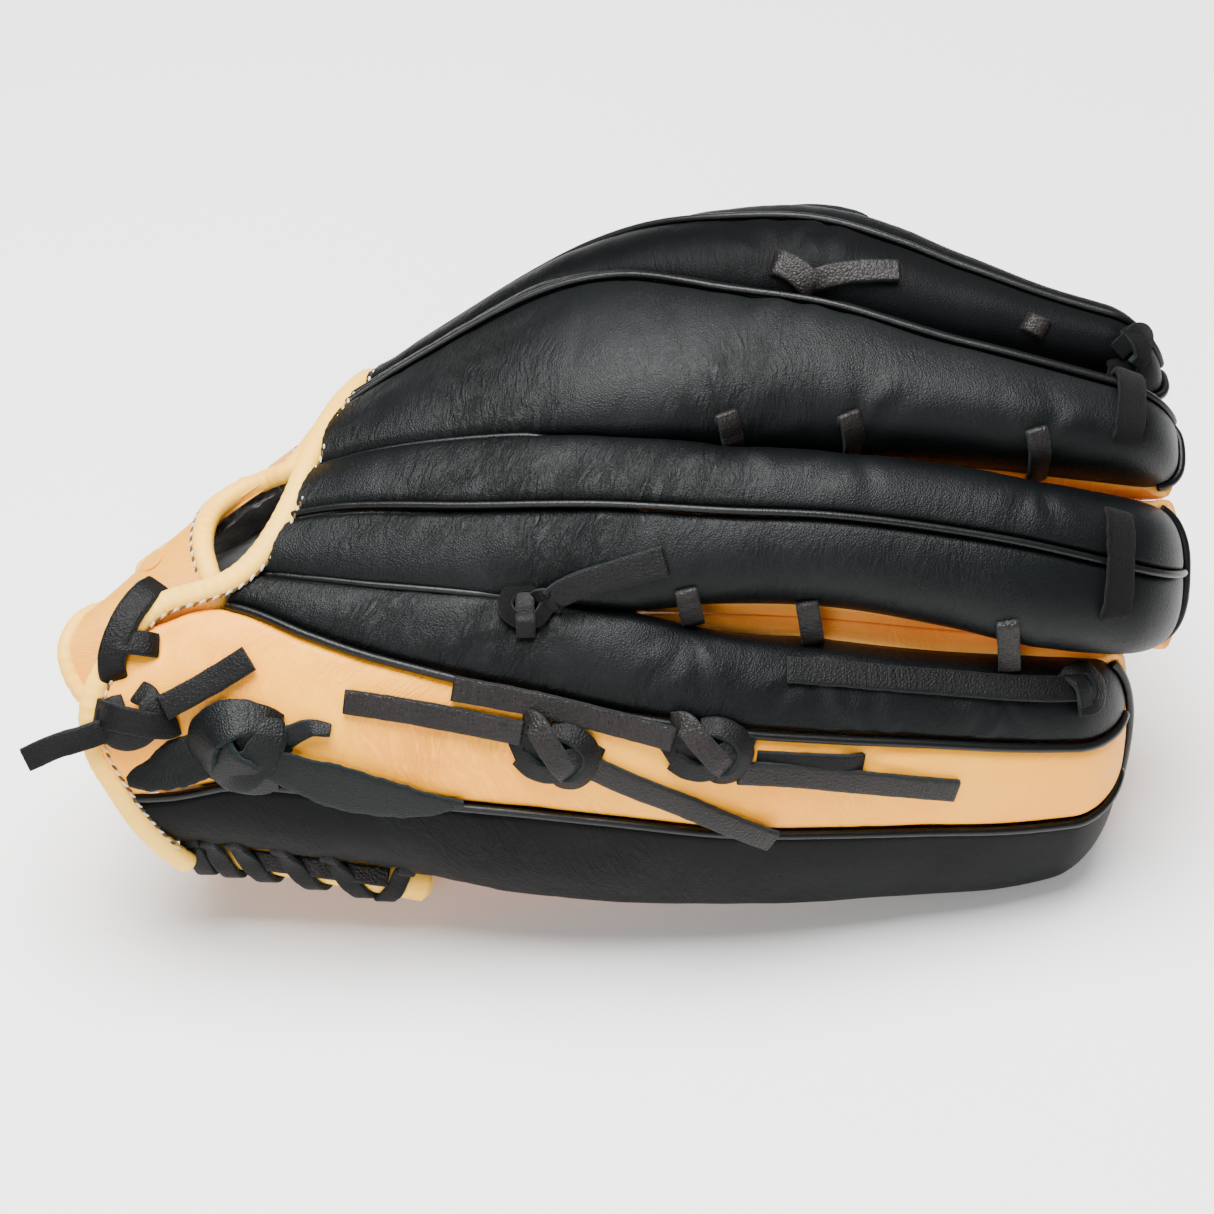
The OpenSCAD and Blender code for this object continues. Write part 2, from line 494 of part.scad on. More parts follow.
module strap_edge(j) {
  n = strap_rows;
  strip([for (i = [0:n]) strap_at(i, j, -strap_edge_out, strap_t / 2 + strap_edge_sink)],
    [for (i = [0:n]) out_dir(along(strap_stations, i / n)[0])], strap_edge_w, strap_edge_t, binding_sides);
}
module strap_binding() color("#efd9a8") {
  strap_edge(0);
  strap_edge(strap_cols);
}
function patch_at(i, j, lift) = let (a = mix(84, 93, i / 4), x = mix(-116, -123, j / 3))
  at(x, a, strap_r(x, a) + lift);
patch_t = 1;
patch_gap = 0.2;
module strap_patch() color("#e3ba7e")
  sheet([for (i = [0:4]) [for (j = [0:3]) patch_at(i, j, patch_gap + patch_t)]],
    [for (i = [0:4]) [for (j = [0:3]) patch_at(i, j, patch_gap)]]);
rivet_x = -124;
rivet_angle = 102;
rivet_d = 4;
rivet_h = 0.5;
rivet_lift = 0.8;
module strap_rivet() color("#a08a68")
  translate(at(rivet_x, rivet_angle, strap_r(rivet_x, rivet_angle) + rivet_lift))
  rotate([rivet_angle - 90, 0, 0]) cylinder(h = rivet_h, d = rivet_d, $fn = 24);

// Web between the index finger and the thumb
web_t = 4;
// The web hangs in from the back's outline by this share, and lies this far above the side seams
web_hang = 0.06;
web_rise = 0.8;
function web_r(x, angle) = (1 - web_hang) * back_radius(x, angle) - crown(x) + web_rise;
module web_sheet(x0, x1, lo, hi, rows, cols) {
  function p(i, j, d) = let (x = mix(x0, x1, i / rows))
    let (a = mix(along(lo, i / rows), along(hi, i / rows), j / cols)) at(x, a, web_r(x, a) + d);
  sheet([for (i = [0:rows]) [for (j = [0:cols]) p(i, j, web_t)]],
    [for (i = [0:rows]) [for (j = [0:cols]) p(i, j, 0)]]);
}
module web_base_index_side() color("#e8b56c") web_sheet(14, 34, [39.2, 39.2], [42, 50.4], 3, 3);
module web_base_thumb_side() color("#e8b56c") web_sheet(14, 34, [32.4, 24.6], [34.8, 34.8], 3, 3);
module web_post_index_side() color("#1b1d1f") web_sheet(34.4, 89.6, [41, 42], [47, 53], 6, 2);
module web_post_thumb_side() color("#1b1d1f") web_sheet(34.4, 89.6, [27, 24], [33, 33], 6, 2);
module web_top_index_side() color("#1b1d1f") web_sheet(90, 118, [39, 39], [60, 69], 4, 5);
module web_top_thumb_side() color("#1b1d1f") web_sheet(90, 118, [18, 15], [35, 35], 4, 4);
module web_tie(x, a0, r0, a1, r1) {
  n = 3;
  strip([for (i = [0:n]) let (a = mix(a0, a1, i / n)) at(x, a, mix(r0, r1, i / n))],
    [for (i = [0:n]) out_dir(mix(a0, a1, i / n))], web_tie_w, lace_t);
}
web_tie_w = lace_w - 1.4;
// A tie clears the web by more the wider it is, since the web curves under it
web_tie_gap = 0.36 * web_tie_w;
function seam_r(f, x, s) = back_radius(x, across(f, x, s, 0)) - crown(x);
module web_lacing_index_side() color("#2a2726") {
  for (x = [44, 58, 72])
    web_tie(x, mix(43, 48, (x - 44) / 40), web_r(x, 46) + web_t + web_tie_gap + lace_t / 2,
      across(INDEX, x, 0, 0) - 0.6, seam_r(INDEX, x, 0));
  for (x = [97, 110])
    web_tie(x, 56, web_r(x, 56) + web_t + web_tie_gap + lace_t / 2, across(INDEX, x, 0, 0) - 0.6,
      seam_r(INDEX, x, 0));
}
module web_lacing_thumb_side() color("#2a2726") {
  for (x = [44, 58, 72])
    web_tie(x, 29, web_r(x, 29) + web_t + web_tie_gap + lace_t / 2, across(THUMB, x, 1, 0) + 0.6,
      seam_r(THUMB, x, 1));
}

// Laces that tie neighbouring fingers together across the gaps
gap_lace_reach = 3.2;
gap_lace_w = lace_w - 1;
// Clear height of a lace above the skin
lace_lift = 0.8;
module gap_lace(x, f_low, f_high, reach = gap_lace_reach) {
  a0 = across(f_low, x, 0.97, 0) - gap_lace_reach;
  a1 = across(f_high, x, 0.03, 0) + reach;
  n = 6;
  r0 = skin_r(x, a0) + lace_lift + lace_t / 2;
  r1 = skin_r(x, a1) + lace_lift + lace_t / 2;
  strip([for (i = [0:n]) at(x + mix(-1, 1, i / n), mix(a0, a1, i / n), mix(r0, r1, i / n))],
    [for (i = [0:n]) out_dir(mix(a0, a1, i / n))], gap_lace_w, lace_t);
}
module finger_gap_laces() color("#2a2726") {
  for (x = [34, 66, min(middle_tip, ring_tip) - 45]) gap_lace(x, MIDDLE, RING);
  for (x = [22, 54]) gap_lace(x, RING, PINKY);
  gap_lace(min(ring_tip, pinky_tip) - 39, RING, PINKY, 1);
  gap_lace(78, INDEX, MIDDLE);
}
// Suede loops near the fingertips
tip_lace_w = lace_w + 0.6;
tail_w = lace_w + 0.4;
tail_t = lace_t - 0.2;
function tip_lace_at(f, s) = [f[2] - 20, across(f, f[2] - 20, s, 0), 0.9];
module fingertip_laces() color("#1b1d1f") {
  skin_lace([for (s = [0.28, 0.43, 0.57, 0.72, 0.85]) tip_lace_at(RING, s)], tip_lace_w, tail_t);
  skin_lace([for (s = [0.4, 0.57, 0.75, 0.92]) tip_lace_at(MIDDLE, s)], tip_lace_w, tail_t);
}
module pinky_tip_lace() color("#1b1d1f")
  skin_lace([for (back = [16, 27, 43, 71, 89])
    [pinky_tip - back, across(PINKY, pinky_tip - back, 0.112, 0), 0.7]], tip_lace_w, tail_t);
crotch_lace_w = lace_w + 1.6;
module finger_crotch_lace() color("#1b1d1f")
  skin_lace([[-24, 131, lace_lift], [-12, 130, lace_lift], [2, 129, lace_lift], [16, 127.5, 1]],
    crotch_lace_w, tail_t);
knot_w = 12;
knot_t = 5;
module side_laces() color("#1b1d1f") {
  skin_lace([[-72, 149, 0.6], [-50, 153, 0.6], [-26, 159, 0.6], [-12.5, 162, 0.6]], tail_w, tail_t);
  skin_lace([[-40, 148.5, 0.8], [-20, 152, 1.7], [6, 158.5, 1.7], [19, 162, 0.8]], tail_w, tail_t);
  skin_lace([[-3.5, 170, 0.6], [16, 175.5, 0.8], [34, 182, 1.6], [46, 187, 1.2]], tail_w, tail_t);
  skin_lace([[33, 169, 0.6], [50, 172, 0.6], [75, 175, 0.6], [96, 179, 0.6]], tail_w, tail_t);
  skin_lace([[-11.8, 163.5, 0.8], [-8, 165.5, 0.8], [-4.2, 168, 0.8]], knot_w, knot_t, 8);
  skin_lace([[19.8, 163.5, 0.8], [26, 165.5, 0.8], [32.3, 167.5, 0.8]], knot_w, knot_t, 8);
}
strip_t = 2.4;
module pinky_loop_strip() color("#1b1d1f")
  skin_lace([[-122, 167, 0.8], [-114, 163, 0.8], [-104, 157, 1.2], [-94, 157, 1.4], [-84, 161, 1.4],
    [-64, 170.5, 2], [-40, 177, 1.6]], strip_w, strip_t);

// Heel: the rolled edge and the lace that wraps it
roll_d = 9;
roll_sink = 8.6;
heel_path = [[-114, 206.4], [-104, 207.2], [-90, 208.7], [-76, 210.2], [-62, 212.2], [-52, 214.4]];
heel_steps = 15;
function heel_at(t, grow) = let (k = along(heel_path, t))
  at(k[0], k[1], back_radius(k[0], k[1]) - roll_sink + grow);
module heel_roll() color("#efd9a8")
  strip([for (i = [0:heel_steps]) heel_at(i / heel_steps, 0)],
    [for (i = [0:heel_steps]) out_dir(218)], roll_d, roll_d, 10);
// Lean of a loop along the roll, in mm a degree
heel_loop_lean = 0.01;
// A loop clears the roll by more the wider it is, since the roll slants through it
heel_loop_gap = 0.18 * lace_w;
module heel_loop(t) {
  c = heel_at(t, 0);
  n = 14;
  rr = roll_d / 2 + heel_loop_gap + lace_t / 2;
  k = [for (i = [0:n]) 120 + 300 * i / n];
  strip([for (a = k) c + [heel_loop_lean * (a - 270), rr * cos(a), rr * sin(a)]],
    [for (a = k) out_dir(a)], lace_w, lace_t);
}
module heel_lace() color("#1b1d1f") for (t = [0.06, 0.22, 0.38, 0.54, 0.69, 0.84]) heel_loop(t);

// Lace that holds the strap under the side panel, and its knot
strap_lace_path = [[-120, 105.5, -2], [-126.5, 112.5, 5.4], [-131, 123, 5.8], [-133.5, 133, 5.6],
  [-134.5, 141, 4]];
strap_lace_t = lace_t + 0.2;
module strap_lace() color("#1b1d1f") {
  k = edge_stations(strap_lace_path, 12);
  strip([for (p = k) at(p[0], p[1], back_radius(p[0], p[1]) + p[2])], [for (p = k) out_dir(p[1])],
    lace_w + 0.6, strap_lace_t);
}
module strap_lace_knot() color("#1b1d1f")
  skin_lace([[-156, 152, 3], [-142, 149, 4.6], [-128, 147, 4.6], [-114, 143, 3], [-94, 138, 0.8]],
    lace_w + 1, strap_lace_t);

pinky_back_panel();
pinky_side_panel();
pinky_outer_panel();
pinky_inner_welt();
pinky_outer_welt();
ring_back_panel_middle_side();
ring_back_panel_pinky_side();
ring_welt();
middle_back_panel_index_side();
middle_back_panel_ring_side();
middle_welt();
index_back_panel_web_side();
index_back_panel_middle_side();
index_welt();
palm_leather_finger_side();
palm_felt_finger_side();
palm_lining_finger_side();
finger_pads();
pinky_heel_pad();
fingertip_piping();
back_binding_finger_side();
palm_binding_finger_side();
thumb_back_panel();
thumb_side_panel();
thumb_outer_panel();
thumb_inner_welt();
thumb_outer_welt();
palm_leather_thumb_side();
palm_felt_thumb_side();
palm_lining_thumb_side();
thumb_pad();
thumb_heel_pad();
thumb_tip_piping();
back_binding_thumb_side();
palm_binding_thumb_side();
wrist_strap();
strap_fleece();
strap_binding();
strap_patch();
strap_rivet();
web_top_index_side();
web_post_index_side();
web_base_index_side();
web_lacing_index_side();
web_top_thumb_side();
web_post_thumb_side();
web_base_thumb_side();
web_lacing_thumb_side();
finger_gap_laces();
fingertip_laces();
pinky_tip_lace();
finger_crotch_lace();
side_laces();
pinky_loop_strip();
heel_roll();
heel_lace();
strap_lace();
strap_lace_knot();
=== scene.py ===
import math
from collections import namedtuple

import bpy
import numpy as np
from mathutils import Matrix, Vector


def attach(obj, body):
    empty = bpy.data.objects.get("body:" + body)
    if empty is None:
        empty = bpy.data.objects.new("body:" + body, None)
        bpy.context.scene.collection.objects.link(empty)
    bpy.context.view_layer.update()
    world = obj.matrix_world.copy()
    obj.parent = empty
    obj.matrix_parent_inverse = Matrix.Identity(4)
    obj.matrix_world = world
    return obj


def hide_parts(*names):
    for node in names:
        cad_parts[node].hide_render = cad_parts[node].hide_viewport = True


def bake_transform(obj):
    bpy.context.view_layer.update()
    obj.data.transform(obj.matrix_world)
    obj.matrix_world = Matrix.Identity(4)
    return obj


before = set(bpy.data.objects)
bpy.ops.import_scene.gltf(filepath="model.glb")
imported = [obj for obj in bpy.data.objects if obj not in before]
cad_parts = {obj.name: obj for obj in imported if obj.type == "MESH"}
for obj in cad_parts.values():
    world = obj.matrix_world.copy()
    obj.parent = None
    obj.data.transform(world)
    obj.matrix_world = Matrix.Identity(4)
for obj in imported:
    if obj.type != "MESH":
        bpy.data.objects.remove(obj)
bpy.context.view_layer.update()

# ---------------------------------------------------------------- Table and studio
# The glove lies palm down on a plain pale table, painted matt, under a wide soft lamp. A weak lamp in front
# fills its shadows and a weaker one behind edges it. The table and the lamps aren't part of the glove.

TABLE_HALF_M, TABLE_BELOW_M = 4.0, 0.0004


def linear(colour):
    """An sRGB hex colour as linear RGBA."""
    parts = [int(colour[i:i + 2], 16) / 255 for i in (1, 3, 5)]
    return tuple(c / 12.92 if c <= 0.04045 else ((c + 0.055) / 1.055) ** 2.4 for c in parts) + (1.0,)


def add(tree, kind, values, output=0, **settings):
    """Adds a shader node and gives one of its outputs. values are its inputs: numbers, colours or outputs."""
    node = tree.nodes.new("ShaderNode" + kind)
    for key, value in settings.items():
        setattr(node, key, value)
    for key, value in values.items():
        if isinstance(value, bpy.types.NodeSocket):
            tree.links.new(value, node.inputs[key])
        else:
            node.inputs[key].default_value = value
    return node.outputs[output] if len(node.outputs) else None


def blank(name):
    """A material without nodes, and its node tree."""
    material = bpy.data.materials.new(name)
    material.use_nodes = True
    material.node_tree.nodes.clear()
    return material, material.node_tree


# Matt white wall paint, rolled on: no highlight at all, and a cloudiness too faint to read as a pattern
material, tree = blank("matte_painted_table")
cloud = add(tree, "TexNoise", {"Scale": 3.0, "Detail": 2.0})
tint = add(tree, "ValToRGB", {"Fac": cloud})
ramp = tint.node.color_ramp.elements
ramp[0].color, ramp[1].color = linear("#f6f6f5"), linear("#fbfbfa")
paint = add(tree, "BsdfPrincipled", {"Base Color": tint, "Roughness": 0.9})
add(tree, "OutputMaterial", {"Surface": paint})
table_mesh = bpy.data.meshes.new("table")
corners = [(x * TABLE_HALF_M, y * TABLE_HALF_M, 0) for x, y in ((-1, -1), (1, -1), (1, 1), (-1, 1))]
table_mesh.from_pydata(corners, [], [(0, 1, 2, 3)])
table_mesh.materials.append(material)
table = bpy.data.objects.new("table", table_mesh)
table.location.z = -TABLE_BELOW_M
bpy.context.scene.collection.objects.link(table)

world = bpy.data.worlds.new("studio")
world.use_nodes = True
sky = world.node_tree.nodes["Background"].inputs
sky["Color"].default_value, sky["Strength"].default_value = linear("#ffffff"), 0.4
bpy.context.scene.world = world

for name, place_m, aim_m, size_m, watts in (
        ("overhead_softbox", (-0.15, -0.08, 1.5), (0, 0, 0.05), 1.2, 92),
        ("front_softbox", (-0.3, -1.4, 0.75), (0, 0, 0.06), 0.6, 13),
        ("rim_softbox", (0.7, 1.1, 1.1), (0, 0, 0.08), 0.8, 3)):
    data = bpy.data.lights.new(name, "AREA")
    data.shape, data.size, data.energy = "DISK", size_m, watts
    lamp = bpy.data.objects.new(name, data)
    lamp.location = place_m
    lamp.rotation_euler = (Vector(aim_m) - Vector(place_m)).to_track_quat("-Z", "Y").to_euler()
    bpy.context.scene.collection.objects.link(lamp)

# The camera stands a metre off, on the little finger's side, and looks down at it
camera_data = bpy.data.cameras.new("camera")
camera_data.sensor_width, camera_data.lens = 36, 99.9
camera = bpy.data.objects.new("camera", camera_data)
camera.location = (-0.0029, -0.7587, 0.6891)
camera.rotation_euler = (math.radians(50), 0, 0)
bpy.context.scene.collection.objects.link(camera)
bpy.context.scene.camera = camera

# ---------------------------------------------------------------- Palm leather
# One hide of tan steerhide, 2.6 mm thick, that runs from the heel and parts into the five fingers. It is cut
# flat, stitched to the backs along the side seams, and pressed into the pocket, so it bends at the fold.

# The glove is a padded sheet folded over a pocket. A point of it is given by x in mm, from the heel to the
# fingertips, by an angle in degrees round the pocket's centre line, and by a radius from that line in mm.
# The centre line passes AXIS_START and climbs by AXIS_SLOPE, in y and z, for each mm of x.
ORIGIN = np.array([2.87, 74.265, -114.57])
AXIS_START, AXIS_SLOPE = (-110, 42, -62), (0.205, 0.033)
GLOVE_T, CROWN_SHARE, VALLEY_SHARE = 36.0, 0.55, 0.22
CROWN = CROWN_SHARE * GLOVE_T
KNUCKLE_RISE, KNUCKLE_ANGLE, KNUCKLE_SPREAD = 20.0, 62, 34
EDGE_ANGLES, EDGE_SPREAD = (-47, 227), 26
SEAM, HEEL_X = 0.25, -126.0
FOLD_ANGLE, FOLD_HALF_ANGLE, FOLD_END_X, FOLD_FADE = 37.0, 1.25, 20, 15
TIP_ROUND, TIP_FALL, SECTION_POWER, PLAN_POWER = 14.0, 17, 2.6, 2.8
LEATHER_T, FELT_T, LINING_T = 2.6, 6.0, 1.2

# Lines along the glove, each as x and the value there: radius of the back, shares and growths of it
near_radius = [(-160, 50), (-110, 60), (-45, 78), (30, 93), (100, 95), (130, 92), (168, 84)]
rise_share = [(-160, 0), (-110, 0.1), (-60, 0.56), (-19, 1.04), (5, 1.12), (30, 1.02), (60, 0.86), (83, 0.52),
              (100, 0.15), (130, -0.4), (168, -0.65)]
edge_growth = [(-160, 0), (-60, 2), (30, 4.5), (100, 9), (130, 10), (168, 8)]
cut_share = [(-160, VALLEY_SHARE), (-30, VALLEY_SHARE), (20, 0.6), (55, 1), (170, 1)]
palm_cut_share = [(-160, 0), (5, 0), (45, 0.75), (75, 1), (170, 1)]
# Seam lines and valleys between the fingers, each as x and angle
pinky_edge = [(-150, 203), (-110, 203), (-70, 206), (-45, 210), (-20, 215), (30, 217), (60, 218), (90, 220),
              (120, 224), (150, 227)]
pinky_outer_line = [(-150, 172), (-120, 171), (-100, 168), (-60, 172), (0, 178), (30, 182), (60, 185.5),
                    (90, 189), (120, 193.5), (150, 199)]
pinky_inner_line = [(-150, 127), (-136, 124), (-120, 120), (-105, 120), (-80, 133), (-60, 141), (-20, 152),
                    (30, 162), (60, 166.5), (90, 170.8), (120, 176), (150, 182)]
ring_pinky_valley = [(-150, 108), (-104, 111), (-80, 119), (-60, 125), (-20, 134), (0, 138), (30, 143),
                     (60, 148), (90, 154.5), (120, 161.5), (165, 172)]
ring_line = [(-100, 99), (-80, 103), (-40, 113), (0, 120), (30, 125), (60, 129), (90, 134), (120, 140),
             (165, 151)]
ring_middle_valley = [(-100, 85), (-80, 88), (-40, 97), (0, 105), (30, 110), (60, 114), (90, 119), (120, 125),
                      (165, 134)]
middle_line = [(-100, 73), (-40, 72), (0, 76), (30, 84), (60, 90.5), (90, 98.5), (120, 106), (165, 117)]
middle_index_valley = [(-100, 67), (-40, 66), (-20, 67), (0, 71), (30, 79), (60, 85), (90, 92), (120, 99),
                       (165, 110)]
index_line = [(-100, 53), (-20, 54), (0, 58), (30, 66), (60, 72), (90, 79), (120, 87), (165, 99)]
index_edge = [(-100, FOLD_ANGLE), (-10, FOLD_ANGLE), (5, 39.5), (30, 50), (60, 58), (90, 66), (120, 76),
              (165, 90)]
thumb_inner_edge = [(-150, FOLD_ANGLE), (-10, FOLD_ANGLE), (5, 34.5), (30, 25), (60, 20), (100, 13)]
thumb_inner_line = [(-150, 21), (-60, 20), (0, 12), (30, 9), (60, 5), (100, -1)]
thumb_outer_line = [(-150, 5), (-60, 3), (0, -3), (30, -6), (60, -11), (100, -18)]
thumb_edge = [(-150, -30), (-60, -34), (0, -37.5), (60, -40), (100, -43)]
# Half gaps between the fingers, in mm
wide_gap = [(-150, SEAM), (5, SEAM), (30, 3.4), (60, 4.6), (90, 4), (120, 2.2), (165, 2.8)]
narrow_gap = [(-150, SEAM), (40, SEAM), (80, 0.8), (120, 1.6), (165, 2.6)]
no_gap = [(-150, 0), (165, 0)]

# A finger: its two edges, its tip's x, the half gap at each edge, and whether the hide folds round each edge
Finger = namedtuple("Finger", "low high tip low_gap high_gap low_folds high_folds")
PINKY = Finger(ring_pinky_valley, pinky_edge, 147.0, wide_gap, no_gap, False, True)
RING = Finger(ring_middle_valley, ring_pinky_valley, 160.0, narrow_gap, wide_gap, False, False)
MIDDLE = Finger(middle_index_valley, ring_middle_valley, 159.0, narrow_gap, narrow_gap, False, False)
INDEX = Finger(index_edge, middle_index_valley, 157.0, no_gap, narrow_gap, False, False)
THUMB = Finger(thumb_edge, thumb_inner_edge, 94.0, no_gap, no_gap, True, False)


def curve(points, x):
    """Smooth curve through given points."""
    k, x = np.array(points, float), np.asarray(x, float)
    last = len(k) - 1
    i = np.clip(np.searchsorted(k[:, 0], x, side="right") - 1, 0, last - 1)
    low, high = np.maximum(np.arange(last + 1) - 1, 0), np.minimum(np.arange(last + 1) + 1, last)
    slope = (k[high, 1] - k[low, 1]) / (k[high, 0] - k[low, 0])
    w = k[i + 1, 0] - k[i, 0]
    t = np.clip((x - k[i, 0]) / w, 0, 1)
    t2, t3 = t * t, t * t * t
    return ((2 * t3 - 3 * t2 + 1) * k[i, 1] + (t3 - 2 * t2 + t) * w * slope[i]
            + (3 * t2 - 2 * t3) * k[i + 1, 1] + (t3 - t2) * w * slope[i + 1])


def at(x, angle, r):
    """Points in mm, in the frame, from x, angle and radius."""
    x, angle, r = np.broadcast_arrays(np.asarray(x, float), np.radians(angle), r)
    run = x - AXIS_START[0]
    y = AXIS_START[1] + AXIS_SLOPE[0] * run + r * np.cos(angle)
    z = AXIS_START[2] + AXIS_SLOPE[1] * run + r * np.sin(angle)
    return np.stack([x, y, z], -1) - ORIGIN


def back_radius(x, angle):
    """Radius of the back's crown: it rises over the knuckles and grows towards both outer edges."""
    low_edge, high_edge = (np.exp(-((angle - a) / EDGE_SPREAD) ** 2) for a in EDGE_ANGLES)
    knuckles = np.exp(-((angle - KNUCKLE_ANGLE) / KNUCKLE_SPREAD) ** 2)
    return (curve(near_radius, x) + KNUCKLE_RISE * curve(rise_share, x) * knuckles
            + curve(edge_growth, x) * (low_edge + high_edge))


def side_cut(finger, x, s, shares):
    """How deep a finger's side is cut down, as a share: all of it where the hide folds round the edge."""
    fold = np.where(np.asarray(s) < 0.5, finger.low_folds, finger.high_folds)
    return np.where(fold, 1.0, np.clip(curve(shares, x), 0, 1))


def edge(finger, high, x, inset=0.0):
    """Angle of a finger's edge at x, drawn in by inset mm."""
    line, gap = (finger.high, finger.high_gap) if high else (finger.low, finger.low_gap)
    middle = curve(line, x)
    r = back_radius(x, middle) - CROWN
    shift = np.degrees((curve(gap, x) + inset * side_cut(finger, x, 1.0 if high else 0.0, cut_share)) / r)
    if line is index_edge or line is thumb_inner_edge:
        shift = shift + FOLD_HALF_ANGLE * np.clip((FOLD_END_X - np.asarray(x)) / FOLD_FADE, 0, 1)
    return middle - shift if high else middle + shift


def across(finger, x, s, inset=0.0):
    """Angle at share s across a finger."""
    return edge(finger, False, x, inset) * (1 - s) + edge(finger, True, x, inset) * s


def arch(s, power):
    """A superellipse's height over s from 0 to 1."""
    return np.maximum(0, 1 - np.abs(2 * np.asarray(s) - 1) ** power) ** (1 / power)


def tip_x(finger, s, inset=0.0):
    """The x where a finger ends, rounded in plan."""
    return finger.tip - inset - TIP_ROUND * (1 - arch(s, PLAN_POWER))


def tip_fall(finger, x, s, inset=0.0):
    """Falls from 1 to 0 as a finger rounds over at its tip."""
    q = np.clip((tip_x(finger, s, inset) - x) / TIP_FALL, 0, 1)
    return np.sqrt(np.maximum(0, 1 - (1 - q) ** 2))


def top_r(finger, x, s, inset=0.0):
    """Radius of a finger's back."""
    cut, fall = side_cut(finger, x, s, cut_share), tip_fall(finger, x, s, inset)
    full = back_radius(x, across(finger, x, s)) - inset
    return full - (CROWN - inset) * (1 - (1 - cut * (1 - arch(s, SECTION_POWER))) * fall) + SEAM * (1 - fall)


def palm_r(finger, x, s, inset=0.0):
    """Radius of a finger's palm side."""
    cut, fall = side_cut(finger, x, s, palm_cut_share), tip_fall(finger, x, s, inset)
    full = back_radius(x, across(finger, x, s)) - GLOVE_T + inset
    return full + (GLOVE_T - CROWN - inset) * (1 - (1 - cut * (1 - arch(s, SECTION_POWER))) * fall) - SEAM


def skin_r(x, angle):
    """Radius of the back's skin, whichever finger that is."""
    x, angle = np.broadcast_arrays(np.asarray(x, float), np.asarray(angle, float))
    v = [curve(line, x) for line in (ring_pinky_valley, ring_middle_valley, middle_index_valley)]
    r = np.zeros(x.shape)
    for finger, low, high in ((PINKY, v[0], 999), (RING, v[1], v[0]), (MIDDLE, v[2], v[1]),
                              (INDEX, FOLD_ANGLE, v[2]), (THUMB, -999, FOLD_ANGLE)):
        first = edge(finger, False, x)
        s = np.clip((angle - first) / (edge(finger, True, x) - first), 0, 1)
        r = np.where((angle > low) & (angle <= high), top_r(finger, np.minimum(x, tip_x(finger, s)), s), r)
    return r


def skin(x, angle):
    """Points on the back's skin."""
    return at(x, angle, skin_r(x, angle))


def unit(v):
    """Directions at unit length."""
    return v / np.linalg.norm(v, axis=-1, keepdims=True)


def skin_dir(x, angle):
    """Outward direction of the back's skin."""
    around, lengthwise = skin(x, angle + 1.5) - skin(x, angle - 1.5), skin(x + 2, angle) - skin(x - 2, angle)
    return unit(np.cross(around, lengthwise))


noise_table = np.random.default_rng(11).uniform(-1, 1, (32, 32, 32))


def swell(points, size):
    """Smooth noise from -1 to 1, the same each run, over points in mm."""
    q = np.asarray(points) / size
    i = np.floor(q).astype(int)
    t = q - i
    t = t * t * (3 - 2 * t)
    total = 0
    for corner in np.ndindex(2, 2, 2):
        weight = np.prod([t[..., k] if corner[k] else 1 - t[..., k] for k in range(3)], axis=0)
        total = total + weight * noise_table[tuple((i[..., k] + corner[k]) % 32 for k in range(3))]
    return total


def cells(rows, cols, base=0):
    """Quads of a grid of points."""
    i, j = np.meshgrid(np.arange(rows - 1), np.arange(cols - 1), indexing="ij")
    a = (base + i * cols + j).ravel()
    return np.stack([a, a + 1, a + cols + 1, a + cols], -1)


def piece(name, points, faces, materials, flat=None, wrinkle=None):
    """A new mesh object from points in mm. flat is each point's place along and across the hide, in metres,
    and wrinkle how strongly the hide is creased there."""
    mesh = bpy.data.meshes.new(name)
    mesh.from_pydata((np.asarray(points, float).reshape(-1, 3) / 1000).tolist(), [],
                     faces.tolist() if isinstance(faces, np.ndarray) else faces)
    for m in materials:
        mesh.materials.append(m)
    if flat is not None:
        layer = mesh.attributes.new("flat", "FLOAT_VECTOR", "POINT")
        layer.data.foreach_set("vector", np.asarray(flat, np.float32).ravel())
    if wrinkle is not None:
        layer = mesh.attributes.new("wrinkle", "FLOAT", "POINT")
        layer.data.foreach_set("value", np.asarray(wrinkle, np.float32).ravel())
    obj = bpy.data.objects.new(name, mesh)
    bpy.context.scene.collection.objects.link(obj)
    mesh.shade_smooth()
    return obj


def thicken(obj, mm):
    """Gives a hide its thickness, inwards from its outer face, and leaves the result as its mesh."""
    solid = obj.modifiers.new("thickness", "SOLIDIFY")
    solid.thickness, solid.offset, solid.use_rim = mm / 1000, -1, True
    bpy.context.view_layer.update()
    done = bpy.data.meshes.new_from_object(obj.evaluated_get(bpy.context.evaluated_depsgraph_get()))
    obj.modifiers.clear()
    obj.data = done


# A hide that crosses the pocket bends within FOLD_REACH mm of the fold line, on both sides of it
FOLD_REACH = 22
fold_middle, fold_turn = at(-60.0, FOLD_ANGLE, 55.0), math.radians(FOLD_ANGLE)
fold_step = np.array([0, -math.sin(fold_turn), math.cos(fold_turn)]) * FOLD_REACH
bends = {"fold": (fold_middle + fold_step, fold_middle - fold_step)}


def side_of(finger):
    return "thumb" if finger is THUMB else "finger"


def fasten(obj, body, slot, *nodes):
    """Ties a finished piece to the finger or thumb side, or, where it spans a bend, bakes its place into its
    mesh.
    nodes are the plain solids that it stands for."""
    if body in bends:
        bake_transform(obj)
    else:
        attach(obj, body + "_side")
    if nodes:
        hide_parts(*nodes)


